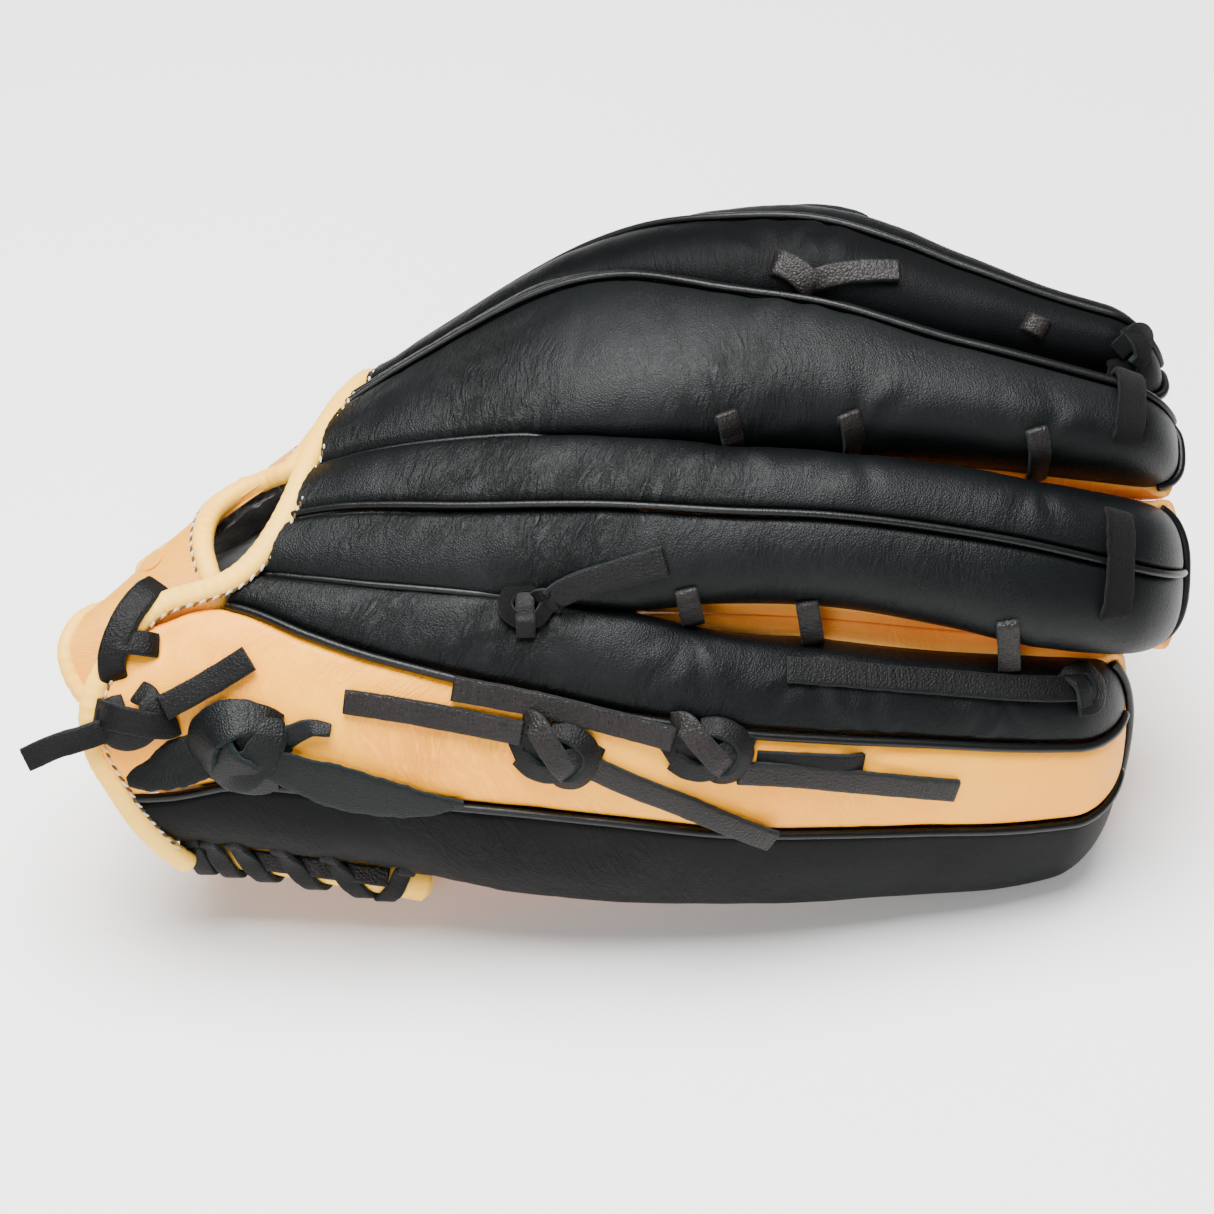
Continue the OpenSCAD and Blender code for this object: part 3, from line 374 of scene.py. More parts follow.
def hide_material(name, colour, deep, wear, rough, grain_mm, grain_depth_mm, crease_depth_mm, shine):
    """Leather: a base colour with a slow mottle towards a lighter worn one, and a darker one, deep, painted
    into the creases as shade, over a pebbled grain and fine creases that run across the hide."""
    material, tree = blank(name)
    body = add(tree, "TexCoord", {}, "Object")
    flat = add(tree, "Attribute", {}, "Vector", attribute_name="flat")
    wrinkle = add(tree, "Attribute", {}, "Fac", attribute_name="wrinkle")
    # pebbled grain, whose cells are grain_mm wide
    edge_of_cell = add(tree, "TexVoronoi", {"Vector": body, "Scale": 1000 / grain_mm, "Randomness": 1.0},
                       "Distance", feature="DISTANCE_TO_EDGE")
    pebble = add(tree, "MapRange", {"Value": edge_of_cell, "From Min": 0.0, "From Max": 0.35})
    pore = add(tree, "TexNoise", {"Vector": body, "Scale": 1000 / (grain_mm * 0.6), "Detail": 4.0,
                                  "Roughness": 0.6})
    # fine creases, about 3 mm apart along the hide and four times as long across it, which wander by 11 mm
    wander = add(tree, "TexNoise", {"Vector": flat, "Scale": 60.0, "Detail": 2.0}, "Color")
    bent = add(tree, "VectorMath", {0: wander, 1: (0.011, 0.011, 0), 2: flat}, operation="MULTIPLY_ADD")
    stretched = add(tree, "Mapping", {"Vector": bent, "Scale": (1.0, 0.27, 1.0)})
    crease = add(tree, "TexNoise", {"Vector": stretched, "Scale": 330.0, "Detail": 5.0, "Roughness": 0.62})
    signed = add(tree, "Math", {0: crease, 1: 0.5}, operation="SUBTRACT")
    apart = add(tree, "Math", {0: signed}, operation="ABSOLUTE")
    ridge = add(tree, "MapRange", {"Value": apart, "From Min": 0.0, "From Max": 0.11})
    # they come in patches about 35 mm across, where the hide is bent most
    worn = add(tree, "TexNoise", {"Vector": flat, "Scale": 28.0, "Detail": 2.0})
    worn = add(tree, "MapRange", {"Value": worn, "From Min": 0.38, "From Max": 0.66})
    strength = add(tree, "Math", {0: worn, 1: wrinkle}, operation="MULTIPLY")
    valley = add(tree, "Math", {0: 1.0, 1: ridge}, operation="SUBTRACT")
    groove = add(tree, "Math", {0: valley, 1: strength}, operation="MULTIPLY")
    # colour, with a mottle about 30 mm across
    mottle = add(tree, "TexNoise", {"Vector": body, "Scale": 34.0, "Detail": 4.0})
    mottle = add(tree, "MapRange", {"Value": mottle, "From Min": 0.35, "From Max": 0.7})
    tone = add(tree, "Mix", {"Factor": mottle, 6: linear(colour), 7: linear(wear)}, 2, data_type="RGBA")
    # Painted shade: the creases' valleys are darkened towards deep, on top of their bump
    painted_crease_mix = add(tree, "Math", {0: groove, 1: 0.75}, operation="MULTIPLY")
    shade = add(tree, "Mix", {"Factor": painted_crease_mix, 6: tone, 7: linear(deep)}, 2, data_type="RGBA")
    # relief, in metres
    low = add(tree, "Math", {0: groove, 1: -crease_depth_mm / 1000}, operation="MULTIPLY")
    high = add(tree, "Math", {0: pebble, 1: grain_depth_mm / 1000}, operation="MULTIPLY")
    fine = add(tree, "Math", {0: pore, 1: grain_depth_mm / 1600, 2: high}, operation="MULTIPLY_ADD")
    height = add(tree, "Math", {0: low, 1: fine}, operation="ADD")
    relief = add(tree, "Bump", {"Height": height, "Distance": 1.0, "Strength": 1.0})
    gloss = add(tree, "MapRange", {"Value": pore, "To Min": rough - 0.06, "To Max": rough + 0.08})
    hide = add(tree, "BsdfPrincipled", {"Base Color": shade, "Roughness": gloss, "Normal": relief, "IOR": 1.5,
                                        "Specular IOR Level": shine})
    add(tree, "OutputMaterial", {"Surface": hide})
    return material


# Tan steerhide, drum dyed and lightly oiled: warm orange-tan, an even soft sheen, a fine grain close up
palm_tan = hide_material("tan_steerhide_palm", "#efa03e", "#b4661a", "#f3ae52", 0.52, 0.8, 0.05, 0.25, 0.3)
PALM_SPLIT, MEAN_R, OVERLAP = 8.0, 70, 0.3


def spread_ends(n):
    """Shares from 0 to 1, closer together near both ends."""
    t = np.linspace(0, 1, n)
    return t - 0.75 * np.sin(2 * np.pi * t) / (2 * np.pi)


def palm_layer(depth, x_from=HEEL_X, fingers_too=True, cols=26, rows=70, tongue_rows=90):
    """Points, faces and flat places of a sheet that lies depth mm behind the palm's face: a hand part that
    parts into fingers at PALM_SPLIT. Between the fingers each tongue reaches out to meet its neighbour."""
    s = spread_ends(cols)
    strips = [THUMB, INDEX, MIDDLE, RING, PINKY]
    hand_x = np.linspace(x_from, PALM_SPLIT, rows)[:, None]
    angle, radius = [], []
    for k, finger in enumerate(strips):
        low = edge(finger, False, hand_x) if k == 0 else curve(finger.low, hand_x)
        high = edge(finger, True, hand_x) if k == 4 else curve(finger.high, hand_x)
        a = low * (1 - s) + high * s
        r = palm_r(finger, np.broadcast_to(hand_x, a.shape), s) + depth
        first = 0 if k == 0 else 1
        angle.append(a[:, first:])
        radius.append(r[:, first:])
    angle, radius = np.concatenate(angle, 1), np.concatenate(radius, 1)
    hand_x = np.broadcast_to(hand_x, angle.shape)
    total = angle.shape[1]
    points, faces = [at(hand_x, angle, radius).reshape(-1, 3)], [cells(rows, total)]
    flat = [np.stack([hand_x, angle * 1.2, 0 * angle], -1).reshape(-1, 3) / 1000]
    count = rows * total
    for k, finger in enumerate(strips if fingers_too else []):
        t = 1 - (1 - np.linspace(0, 1, tongue_rows + 1)[1:, None]) ** 1.5
        x = PALM_SPLIT + (tip_x(finger, s, depth)[None, :] - PALM_SPLIT) * t
        across_all = np.broadcast_to(s, x.shape)
        out_from_middle = np.abs(2 * s - 1)
        rise = np.clip((out_from_middle - 0.45) / 0.4, 0, 1)
        reach = np.clip((1 - out_from_middle) / 0.05, 0, 1) * rise * rise * (3 - 2 * rise)
        gap = np.where(s < 0.5, -curve(finger.low_gap, x), curve(finger.high_gap, x))
        wide = np.radians(edge(finger, True, x) - edge(finger, False, x)) * MEAN_R
        to_edge = (np.abs(gap) > 0.5) * (1 - out_from_middle) / 2 * wide
        shift = np.maximum(np.abs(gap) - OVERLAP + to_edge, 0)
        a = across(finger, x, across_all, depth) + np.degrees(np.sign(gap) * shift / MEAN_R) * reach
        points.append(at(x, a, palm_r(finger, x, across_all, depth)).reshape(-1, 3))
        flat.append(np.stack([x, a * 1.2, 0 * a], -1).reshape(-1, 3) / 1000)
        faces.append(cells(tongue_rows, cols, count))
        join = (rows - 1) * total + k * (cols - 1) + np.arange(cols - 1)
        first = count + np.arange(cols - 1)
        faces.append(np.stack([join, join + 1, first + 1, first], -1))
        count += tongue_rows * cols
    return np.concatenate(points), np.concatenate(faces), np.concatenate(flat)


points, faces, flat = palm_layer(0.0)
sag = 0.35 * swell(points, 26) + 0.2 * swell(points, 9)
away = points - at(points[:, 0] + ORIGIN[0], 0.0, 0.0)
away[:, 0] = 0
points = points + unit(away) * sag[:, None]
palm = piece("palm_leather", points, faces[:, ::-1], [palm_tan], flat, np.full(len(points), 0.35))
thicken(palm, LEATHER_T)
fasten(palm, "fold", "tan_leather", "palm_leather_finger_side", "palm_leather_thumb_side")

# ---------------------------------------------------------------- Felt, lining and pads
# Behind the palm leather lie a sheet of pressed wool felt and a thin black brushed lining. Foam pads
# stiffen the fingers and the two heels. All of it is hidden but for the lining at the wrist.


def cloth_material(name, colour, light, scale_mm, rough, sheen=0.0):
    """Felt, foam, thread or suede: a mottled fibre surface, whose fibres are about scale_mm apart."""
    material, tree = blank(name)
    body = add(tree, "TexCoord", {}, "Object")
    fibre = add(tree, "TexNoise", {"Vector": body, "Scale": 1000 / scale_mm, "Detail": 6.0, "Roughness": 0.75,
                                   "Distortion": 0.6})
    tone = add(tree, "MapRange", {"Value": fibre, "From Min": 0.35, "From Max": 0.68})
    mix = add(tree, "Mix", {"Factor": tone, 6: linear(colour), 7: linear(light)}, 2, data_type="RGBA")
    height = add(tree, "Math", {0: fibre, 1: 0.0006}, operation="MULTIPLY")
    bump = add(tree, "Bump", {"Height": height, "Distance": 1.0})
    fuzz = add(tree, "BsdfPrincipled", {"Base Color": mix, "Roughness": rough, "Normal": bump,
                                        "Sheen Weight": sheen, "Sheen Roughness": 0.5,
                                        "Specular IOR Level": 0.12})
    add(tree, "OutputMaterial", {"Surface": fuzz})
    return material


# Undyed wool felt, pressed: pale grey, matt, mottled with fibre
wool_felt = cloth_material("pressed_wool_felt", "#b9b4a6", "#d8d4c8", 1.6, 0.95)
# Brushed knit, black: a soft dark nap that catches a little light at its edge
black_lining = cloth_material("black_brushed_lining", "#0b0907", "#1d1916", 1.2, 0.97, 0.3)
# Cut polyurethane foam: dull warm grey, fine open cells
pad_foam = cloth_material("grey_pad_foam", "#a9a598", "#c9c5b8", 0.9, 0.95)

for depth, t, name, material, slot in (
        (LEATHER_T + SEAM, FELT_T, "palm_felt", wool_felt, "felt"),
        (LEATHER_T + FELT_T + 2 * SEAM, LINING_T, "palm_lining", black_lining, "lining_leather")):
    points, faces, flat = palm_layer(depth, HEEL_X + 3, fingers_too=False, cols=14, rows=50)
    obj = piece(name, points, faces[:, ::-1], [material], flat)
    thicken(obj, t)
    fasten(obj, "fold", slot, name + "_finger_side", name + "_thumb_side")


def slab(outer, inner):
    """Points and faces of a closed sheet between two grids of points."""
    rows, cols = outer.shape[:2]
    n = rows * cols
    far_row = (rows - 1) * cols
    border = (list(range(cols - 1)) + [i * cols + cols - 1 for i in range(rows - 1)]
              + [far_row + j for j in range(cols - 1, 0, -1)] + [i * cols for i in range(rows - 1, 0, -1)])
    grid = cells(rows, cols).tolist()
    faces = grid + [[q + n for q in f[::-1]] for f in grid]
    faces += [[a, a + n, b + n, b] for a, b in zip(border, border[1:] + border[:1])]
    return np.concatenate([outer.reshape(-1, 3), inner.reshape(-1, 3)]), faces


def rounded(rows, cols, power=4):
    """1 in the middle of a grid, falling to 0.25 at its border, so that a pad has soft edges."""
    u, v = np.linspace(-1, 1, rows)[:, None], np.linspace(-1, 1, cols)[None, :]
    return 0.25 + 0.75 * ((1 - u ** (2 * power)) * (1 - v ** (2 * power))) ** 0.5


def joined(parts):
    """Points and faces of several closed shapes as one mesh."""
    points, faces, count = [], [], 0
    for part_points, part_faces in parts:
        faces += [[count + k for k in face] for face in part_faces]
        points.append(part_points)
        count += len(part_points)
    return np.concatenate(points), faces


def finger_pad(finger, rows=30, cols=9, back_mm=4, clear_mm=0.3):
    """A thin pad along a finger, back_mm deep, from past the palm's split to short of the tip."""
    x, s = np.meshgrid(np.linspace(PALM_SPLIT + 22, finger.tip - 26, rows), np.linspace(0.22, 0.78, cols),
                       indexing="ij")
    a = across(finger, x, s, LEATHER_T)
    low = palm_r(finger, x, s, LEATHER_T) + clear_mm
    return slab(at(x, a, low + back_mm * rounded(rows, cols)), at(x, a, low))


for name, fingers, body in (("finger_pads", (INDEX, MIDDLE, RING, PINKY), "finger"),
                            ("thumb_pad", (THUMB,), "thumb")):
    points, faces = joined([finger_pad(finger) for finger in fingers])
    obj = piece(name, points, faces, [pad_foam])
    fasten(obj, body, "felt", name)

PAD_ROWS, PAD_COLS, PAD_CLEAR = 26, 10, 2
for name, a0, a1, body in (("pinky_heel_pad", 170, 184, "finger"), ("thumb_heel_pad", -18, -4, "thumb")):
    x, a = np.meshgrid(np.linspace(-104, -40, PAD_ROWS), np.linspace(a0, a1, PAD_COLS), indexing="ij")
    high = back_radius(x, a) - LEATHER_T - 6
    low = back_radius(x, a) - GLOVE_T + LEATHER_T + FELT_T + LINING_T + PAD_CLEAR
    middle, half = (high + low) / 2, (high - low) / 2 * rounded(PAD_ROWS, PAD_COLS)
    points, faces = slab(at(x, a, middle + half), at(x, a, middle - half))
    obj = piece(name, points, faces, [pad_foam])
    fasten(obj, body, "felt", name)

# ---------------------------------------------------------------- Back panels of the fingers
# Black steerhide panels, two to a finger, turned in and stitched on a welt. The smooth hide creases over the
# back of the hand and puckers where laces draw the fingers together.

# Steerhide, dyed black through and tumbled: soft sheen with broad lights, fine grain, dull creases
back_black = hide_material("black_steerhide_back", "#040607", "#020202", "#080b0c", 0.42, 0.75, 0.06, 0.3,
                           0.14)
# The same hide on the glove's outer faces: nearly black, a copy with a darker colour and less shine as painted
# shade
shaded_outer_black = hide_material("black_steerhide_outer_shaded", "#030405", "#020202", "#060708", 0.46, 0.75, 0.05, 0.25,
                            0.06)
# Tan steerhide, dyed and glazed: saturated light orange-tan, smooth, an even satin sheen
side_tan = hide_material("tan_steerhide_side", "#ffa408", "#dd8210", "#ffb01c", 0.50, 0.8, 0.04, 0.16, 0.3)
WELT_HALF, BACK_PUFF, SIDE_PUFF, TABLE_CLEAR, HIDE_DEPTH = 0.9, 0.9, 0.5, 0.15, 8
# Places where a lace pulls the hide down, by x and angle
pulls = [(34, 111.5), (66, 115.5), (117, 124.5), (22, 144.5), (54, 152.5), (108, 163),
         (-22, 135), (47, 79), (59, 84), (69, 171.5), (-31, 156), (-114, 197), (-105, 198.5), (-93, 200.5),
         (-79, 203), (-60, 206), (-121, 128), (-109, 153)]


def share_of(finger, x, line):
    """Share across the finger of a line of angles."""
    low = edge(finger, False, x)
    return (curve(line, x) - low) / (edge(finger, True, x) - low)


def width_mm(finger, x):
    """Width of a finger's back, taken HIDE_DEPTH mm below its crown."""
    turn = np.radians(edge(finger, True, x) - edge(finger, False, x))
    return turn * (back_radius(x, curve(finger.low, x)) - HIDE_DEPTH)


def line_share(finger, x, line):
    """Share across the finger of a panel's edge: 0 or 1 for the finger's own, or a seam line and a shift."""
    if isinstance(line, int):
        return np.full(np.shape(x), float(line))
    return share_of(finger, x, line[0]) + line[1] / width_mm(finger, x)


def along(values, t):
    """Values spread evenly from t = 0 to 1, at t."""
    values = np.asarray(values, float)
    place = np.clip(t, 0, 1) * (len(values) - 1)
    return np.interp(place, np.arange(len(values)), values)


def relief(x, angle, points):
    """Height in mm of the hide's slow lumps, creases and puckers."""
    # lumps 31 and 12 mm across, flatter from the middle of the fingers to their tips
    lump = 0.55 * swell(points, 31) + 0.28 * swell(points, 12)
    lump = lump * (1 - 0.6 * np.clip((x - 60) / 60, 0, 1))
    # creases 6.5 mm apart that run across the back, deepest on the hand and over the knuckles
    arc = angle * 1.35
    bent = np.stack([x + 5 * swell(points, 24), arc * 0.4, 0 * x], -1)
    ridge = 1 - np.abs(swell(bent, 6.5))
    hand = np.exp(-((x + 45) / 42) ** 2)
    knuckle = np.exp(-((x - 12) / 26) ** 2) * np.exp(-((angle - 100) / 40) ** 2)
    crease = -0.42 * ridge ** 5 * np.clip(0.55 * hand + 0.75 * knuckle + 0.12, 0, 1)
    # a dent 1.3 mm deep under each lace, and seven small folds that fan out 11 mm from it
    pull = 0
    for px, pa in pulls:
        dx, da = x - px, (angle - pa) * 1.5
        d = np.hypot(dx, da)
        spoke = np.cos(7 * np.arctan2(da, dx) + 2 * swell(points, 9))
        pull = pull - 1.3 * np.exp(-(d / 6) ** 2) + 0.3 * spoke * np.exp(-((d - 11) / 8) ** 2)
    return lump + crease + pull


def heel_draw(x, angle):
    """How far, in mm, the thumb's heel is drawn in towards the wrist."""
    return 0.42 * np.maximum(0, -97 - np.asarray(x)) * np.exp(-((np.asarray(angle) - 32) / 26) ** 2)


def back_grid(finger, low, high, starts, rows, cols):
    """x, share and shares q of a panel between two seam lines, from its start to the finger's tip."""
    q = spread_ends(cols)[None, :]
    t = 1 - (1 - np.linspace(0, 1, rows)[:, None]) ** 1.35
    end = finger.tip - 12
    s1 = line_share(finger, end, low) * (1 - q) + line_share(finger, end, high) * q
    x0 = along(starts, q)
    x = x0 + (tip_x(finger, s1) - x0) * t
    s = line_share(finger, x, low) * (1 - q) + line_share(finger, x, high) * q
    return np.minimum(x, tip_x(finger, s)), s, q


def back_panel(name, finger, low, high, starts, material, cols=30, rows=190):
    """A panel of hide, puffed between its seams and rolled down at them, more so where a welt is."""
    x, s, q = back_grid(finger, low, high, starts, rows, cols)
    angle, radius = across(finger, x, s), top_r(finger, x, s)
    if finger is THUMB:
        radius = radius - heel_draw(x, angle)
    laid = at(x, angle, radius)
    wide = np.linalg.norm(np.diff(laid, axis=1), axis=2).sum(1)[:, None]
    roll = 0
    for d, line in ((q * wide, low), ((1 - q) * wide, high)):
        welted = 0.0 if isinstance(line, int) else 1.0
        roll = roll + (0.9 + 0.6 * welted) * np.clip(1 - d / (2.4 + 0.8 * welted), 0, 1) ** 2
    tip = np.clip((1 - np.linspace(0, 1, rows)[:, None]) * 9, 0, 1)
    puff = SIDE_PUFF if material is side_tan else BACK_PUFF
    points = at(x, angle, radius + (relief(x, angle, laid) + puff * (1 - (2 * q - 1) ** 2)) * tip - roll)
    points[..., 2] = np.maximum(points[..., 2], TABLE_CLEAR)
    length = np.concatenate([np.zeros((1, cols)), np.linalg.norm(np.diff(laid, axis=0), axis=2).cumsum(0)])
    flat = np.stack([length, angle * 1.4, 0 * x], -1) / 1000
    hand, towards_tip = np.exp(-((x + 35) / 55) ** 2), np.clip(1.2 - (x - 60) / 90, 0.25, 1)
    creased = np.clip(0.35 + 0.85 * hand, 0, 1) * towards_tip
    obj = piece(name, points, cells(rows, cols), [material], flat, creased)
    thicken(obj, LEATHER_T)
    fasten(obj, side_of(finger), "tan_leather" if material is side_tan else "black_leather", name)


def below(line):
    """The edge of a panel on the low side of a seam's welt."""
    return (line, -WELT_HALF)


def above(line):
    """The edge of a panel on the high side of a seam's welt."""
    return (line, WELT_HALF)


# Each panel's finger, its two seam lines, and where it starts from one seam to the other
back_panel("pinky_back_panel", PINKY, 0, below(pinky_inner_line), [-97, -103], back_black)
back_panel("pinky_side_panel", PINKY, above(pinky_inner_line), below(pinky_outer_line),
           [-125.5, -134.5, -138, -136.2, -131.5], side_tan)
back_panel("pinky_outer_panel", PINKY, above(pinky_outer_line), 1, [-131, -126.5, -120.5, -113], shaded_outer_black,
           40)
back_panel("ring_back_panel_middle_side", RING, 0, below(ring_line), [-84, -90], back_black)
back_panel("ring_back_panel_pinky_side", RING, above(ring_line), 1, [-90, -97], back_black)
back_panel("middle_back_panel_index_side", MIDDLE, 0, below(middle_line), [-72.5, -76.3], back_black, 20)
back_panel("middle_back_panel_ring_side", MIDDLE, above(middle_line), 1, [-77, -84], back_black, 44)
back_panel("index_back_panel_web_side", INDEX, 0, below(index_line), [-64, -70], shaded_outer_black, 34)
back_panel("index_back_panel_middle_side", INDEX, above(index_line), 1, [-70, -73], shaded_outer_black)
back_panel("thumb_outer_panel", THUMB, 0, below(thumb_outer_line), [-112, -122, -130], shaded_outer_black, 40)
back_panel("thumb_side_panel", THUMB, above(thumb_outer_line), below(thumb_inner_line), [-130, -134, -128],
           side_tan)
back_panel("thumb_back_panel", THUMB, above(thumb_inner_line), 1, [-104, -100], back_black)

# ---------------------------------------------------------------- Welts
# Narrow strips of shiny black leather folded round a cord and sewn into the seam between two panels, where
# they stand about a millimetre proud.

# Black split leather, glazed: smooth, with a thin bright line of light along each roll
welt_black = hide_material("black_glazed_welt", "#040505", "#020202", "#080909", 0.34, 0.7, 0.03, 0.1, 0.22)
WELT_SIDES = 10


def tangents(points):
    """Directions along a line."""
    return unit(np.gradient(points, axis=0))


def tube(points, normals, half_w, half_t, sides=12, power=2.0, taper=True):
    """Points and faces of a closed roll along points. Its section is a superellipse whose flat side faces
    normals."""
    points, normals = np.asarray(points, float), np.asarray(normals, float)
    d = tangents(points)
    side = unit(np.cross(d, normals))
    up = np.cross(side, d)
    a = 2 * np.pi * np.arange(sides) / sides
    c = np.sign(np.cos(a)) * np.abs(np.cos(a)) ** (2 / power)
    e = np.sign(np.sin(a)) * np.abs(np.sin(a)) ** (2 / power)
    n = len(points)
    grow = np.ones(n)
    if taper:
        grow[0] = grow[-1] = 0.6
    half_w, half_t = np.broadcast_to(half_w, n) * grow, np.broadcast_to(half_t, n) * grow
    ring = (points[:, None] + side[:, None] * (c[None, :, None] * half_w[:, None, None])
            + up[:, None] * (e[None, :, None] * half_t[:, None, None]))
    i, k = np.meshgrid(np.arange(n - 1), np.arange(sides), indexing="ij")
    k2 = (k + 1) % sides
    faces = np.stack([i * sides + k, i * sides + k2, (i + 1) * sides + k2, (i + 1) * sides + k], -1)
    faces = faces.reshape(-1, 4)[:, ::-1].tolist()
    faces += [list(range(sides)), [(n - 1) * sides + k for k in range(sides)][::-1]]
    return ring.reshape(-1, 3), faces


def length_along(points):
    """Distance from a line's start to each of its points, in mm."""
    return np.concatenate([[0], np.cumsum(np.linalg.norm(np.diff(points, axis=0), axis=1))])


def strip_flat(run, round_mm):
    """Flat places, in metres, of a tube's points: run along it and round_mm round it."""
    n, sides = len(run), len(round_mm)
    return np.stack([np.repeat(run, sides), np.tile(round_mm, n), np.zeros(n * sides)], -1) / 1000


def out_dir(angle):
    """Direction away from the pocket's centre line."""
    a = np.radians(angle)
    return np.stack([0 * a, np.cos(a), np.sin(a)], -1)


def welt(name, finger, line, x0, half=1.05, x1=None, rise=0.35, nodes=()):
    """A welt along a seam line, from x0 to the finger's tip or to x1, where it dives under."""
    t = 1 - (1 - np.linspace(0, 1, 170)) ** 1.35
    end = tip_x(finger, share_of(finger, finger.tip - 12, line)) - 0.5 if x1 is None else x1
    x = x0 + (end - x0) * t
    s = share_of(finger, x, line)
    angle = across(finger, x, s)
    fade = np.clip(t * 14, 0, 1) * (np.clip((1 - t) * 9, 0, 1) if x1 is not None else 1.0)
    r = top_r(finger, x, s) + rise - 1.3 * (1 - fade)
    points = at(x, angle, r + 0.35 * swell(at(x, angle, r), 31))
    ring, faces = tube(points, out_dir(angle), half, half * 1.1, WELT_SIDES)
    flat = strip_flat(x, np.arange(WELT_SIDES) * 0.6)
    obj = piece(name, ring, faces, [welt_black], flat, np.full(len(ring), 0.2))
    fasten(obj, side_of(finger), "black_welt", *nodes)


for name, finger, line, x0, half in (
        ("pinky_inner_welt", PINKY, pinky_inner_line, -103, 1.25),
        ("pinky_outer_welt", PINKY, pinky_outer_line, -130.6, 1.25),
        ("ring_welt", RING, ring_line, -90, 1.05),
        ("middle_welt", MIDDLE, middle_line, -76.5, 1.05),
        ("index_welt", INDEX, index_line, -70, 1.05),
        ("thumb_inner_welt", THUMB, thumb_inner_line, -110, 1.25),
        ("thumb_outer_welt", THUMB, thumb_outer_line, -130, 1.25)):
    welt(name, finger, line, x0, half, nodes=[name])
for name, finger, line, x0, x1 in (
        ("ring_middle_valley_welt", RING, ring_middle_valley, -84, -14),
        ("ring_pinky_valley_welt", RING, ring_pinky_valley, -97, -26),
        ("middle_index_valley_welt", INDEX, middle_index_valley, -73, -34)):
    welt(name, finger, line, x0, x1=x1, rise=-0.1)

# ---------------------------------------------------------------- Rolled bindings
# Strips of cream steerhide rolled over the cut edges at the wrist, the heel and the strap, and whip stitched
# along the panel with waxed thread, pale where it lies on top and brown, as painted shade, where it dips.

# Cream steerhide, aniline dyed: pale warm yellow, satin, fine creases across the roll
binding_cream = hide_material("cream_rolled_binding", "#fabe3c", "#cf9440", "#fcc850", 0.5, 0.9, 0.02, 0.08,
                              0.3)
# Waxed nylon thread: off-white and slightly dirty, matt at this size
white_thread = cloth_material("waxed_white_thread", "#cfc6b2", "#f1ece0", 0.3, 0.6)
# The same thread, browned as painted shade where it dips into the seam's shadow
shaded_dark_thread = cloth_material("waxed_thread_shaded", "#46341f", "#7a6042", 0.3, 0.6)
ROLL_SIDES = 18
# A stitch: its step along the seam, half length, slant and sag, and how far a lying and a dipped one stand up
STITCH_STEP, STITCH_HALF, STITCH_SLANT, STITCH_SAG, STITCH_UP, STITCH_DIPPED = 1.9, 1.05, 0.35, 0.35, 0.35, 0.15
STITCH_W, STITCH_T = np.array([0.2, 0.38, 0.42, 0.38, 0.2]), np.array([0.2, 0.34, 0.38, 0.34, 0.2])


def smooth(stations, n):
    """n even samples of a smooth curve through given stations."""
    stations = np.asarray(stations, float)
    k = np.arange(len(stations))
    t = np.linspace(0, len(stations) - 1, n)
    return np.stack([curve(np.stack([k, stations[:, c]], -1), t) for c in range(stations.shape[1])], -1)


def columns_at(t, known, values):
    """Each column of values, given at known, read at t."""
    return np.stack([np.interp(t, known, values[:, c]) for c in range(values.shape[1])], -1)


def even(points, step):
    """Samples of a line every step mm, and their distances from its start."""
    run = length_along(points)
    want = np.arange(0, run[-1], step)
    return columns_at(want, run, points), want


def stitches(name, seam_line, side, up, run, body, stitch_side, stitch_from, stitch_to):
    """Whip stitches along a seam line, every other one dipped, from one share of it to another."""
    dots, want = even(seam_line, STITCH_STEP)
    share = want / want[-1]
    ups = columns_at(share, run / run[-1], up)
    outs = columns_at(share, run / run[-1], side) * stitch_side
    dirs = tangents(dots)
    t = np.linspace(-1, 1, len(STITCH_W))[:, None]
    dipped, lying = [], []
    for k in range(1, len(dots) - 1):
        if stitch_from <= share[k] <= stitch_to:
            lean = dirs[k] * STITCH_HALF + outs[k] * STITCH_SLANT
            middle = dots[k] + ups[k] * (STITCH_UP if k % 2 else STITCH_DIPPED)
            line = middle + lean * t - ups[k] * t ** 2 * STITCH_SAG
            shape = tube(line, np.repeat(ups[k][None], len(t), 0), STITCH_W, STITCH_T, 6, taper=False)
            (lying if k % 2 else dipped).append(shape)
    # The dipped stitches take the browned thread as painted shade
    for shapes, material, kind in ((lying, white_thread, "white"), (dipped, shaded_dark_thread, "dark")):
        points, faces = joined(shapes)
        fasten(piece(name + "_stitches_" + kind, points, faces, [material]), body, "cream_binding")


def binding(name, centre, normals, half_w, half_t, body, nodes, stitch_side=0, stitch_from=0.0, stitch_to=1.0,
            on_skin=False):
    """A rolled edge along centre, and its stitches on one side of it."""
    run = length_along(centre)
    swing = 1 + 0.035 * swell(centre, 14) + 0.02 * np.sin(run * 2 * np.pi / 3.2)
    ring, faces = tube(centre, normals, half_w * swing, half_t * swing, ROLL_SIDES, 2.3)
    flat = strip_flat(run, np.arange(ROLL_SIDES) * 1.0)
    obj = piece(name, ring, faces, [binding_cream], flat, np.full(len(ring), 0.25))
    fasten(obj, body, "cream_binding", *nodes)
    if not stitch_side:
        return
    d = tangents(centre)
    side = unit(np.cross(d, normals))
    up = np.cross(side, d)
    seam_line = centre + side * (stitch_side * (half_w + 0.15)) + up * (half_t * 0.18)
    if on_skin:
        x = seam_line[:, 0] + ORIGIN[0]
        arm = seam_line - at(x, 0.0, 0.0)
        a = np.degrees(np.arctan2(arm[:, 2], arm[:, 1])) % 360
        seam_line = at(x, a, np.maximum(np.hypot(arm[:, 1], arm[:, 2]), skin_r(x, a) + 0.35))
    stitches(name, seam_line, side, up, run, body, stitch_side, stitch_from, stitch_to)


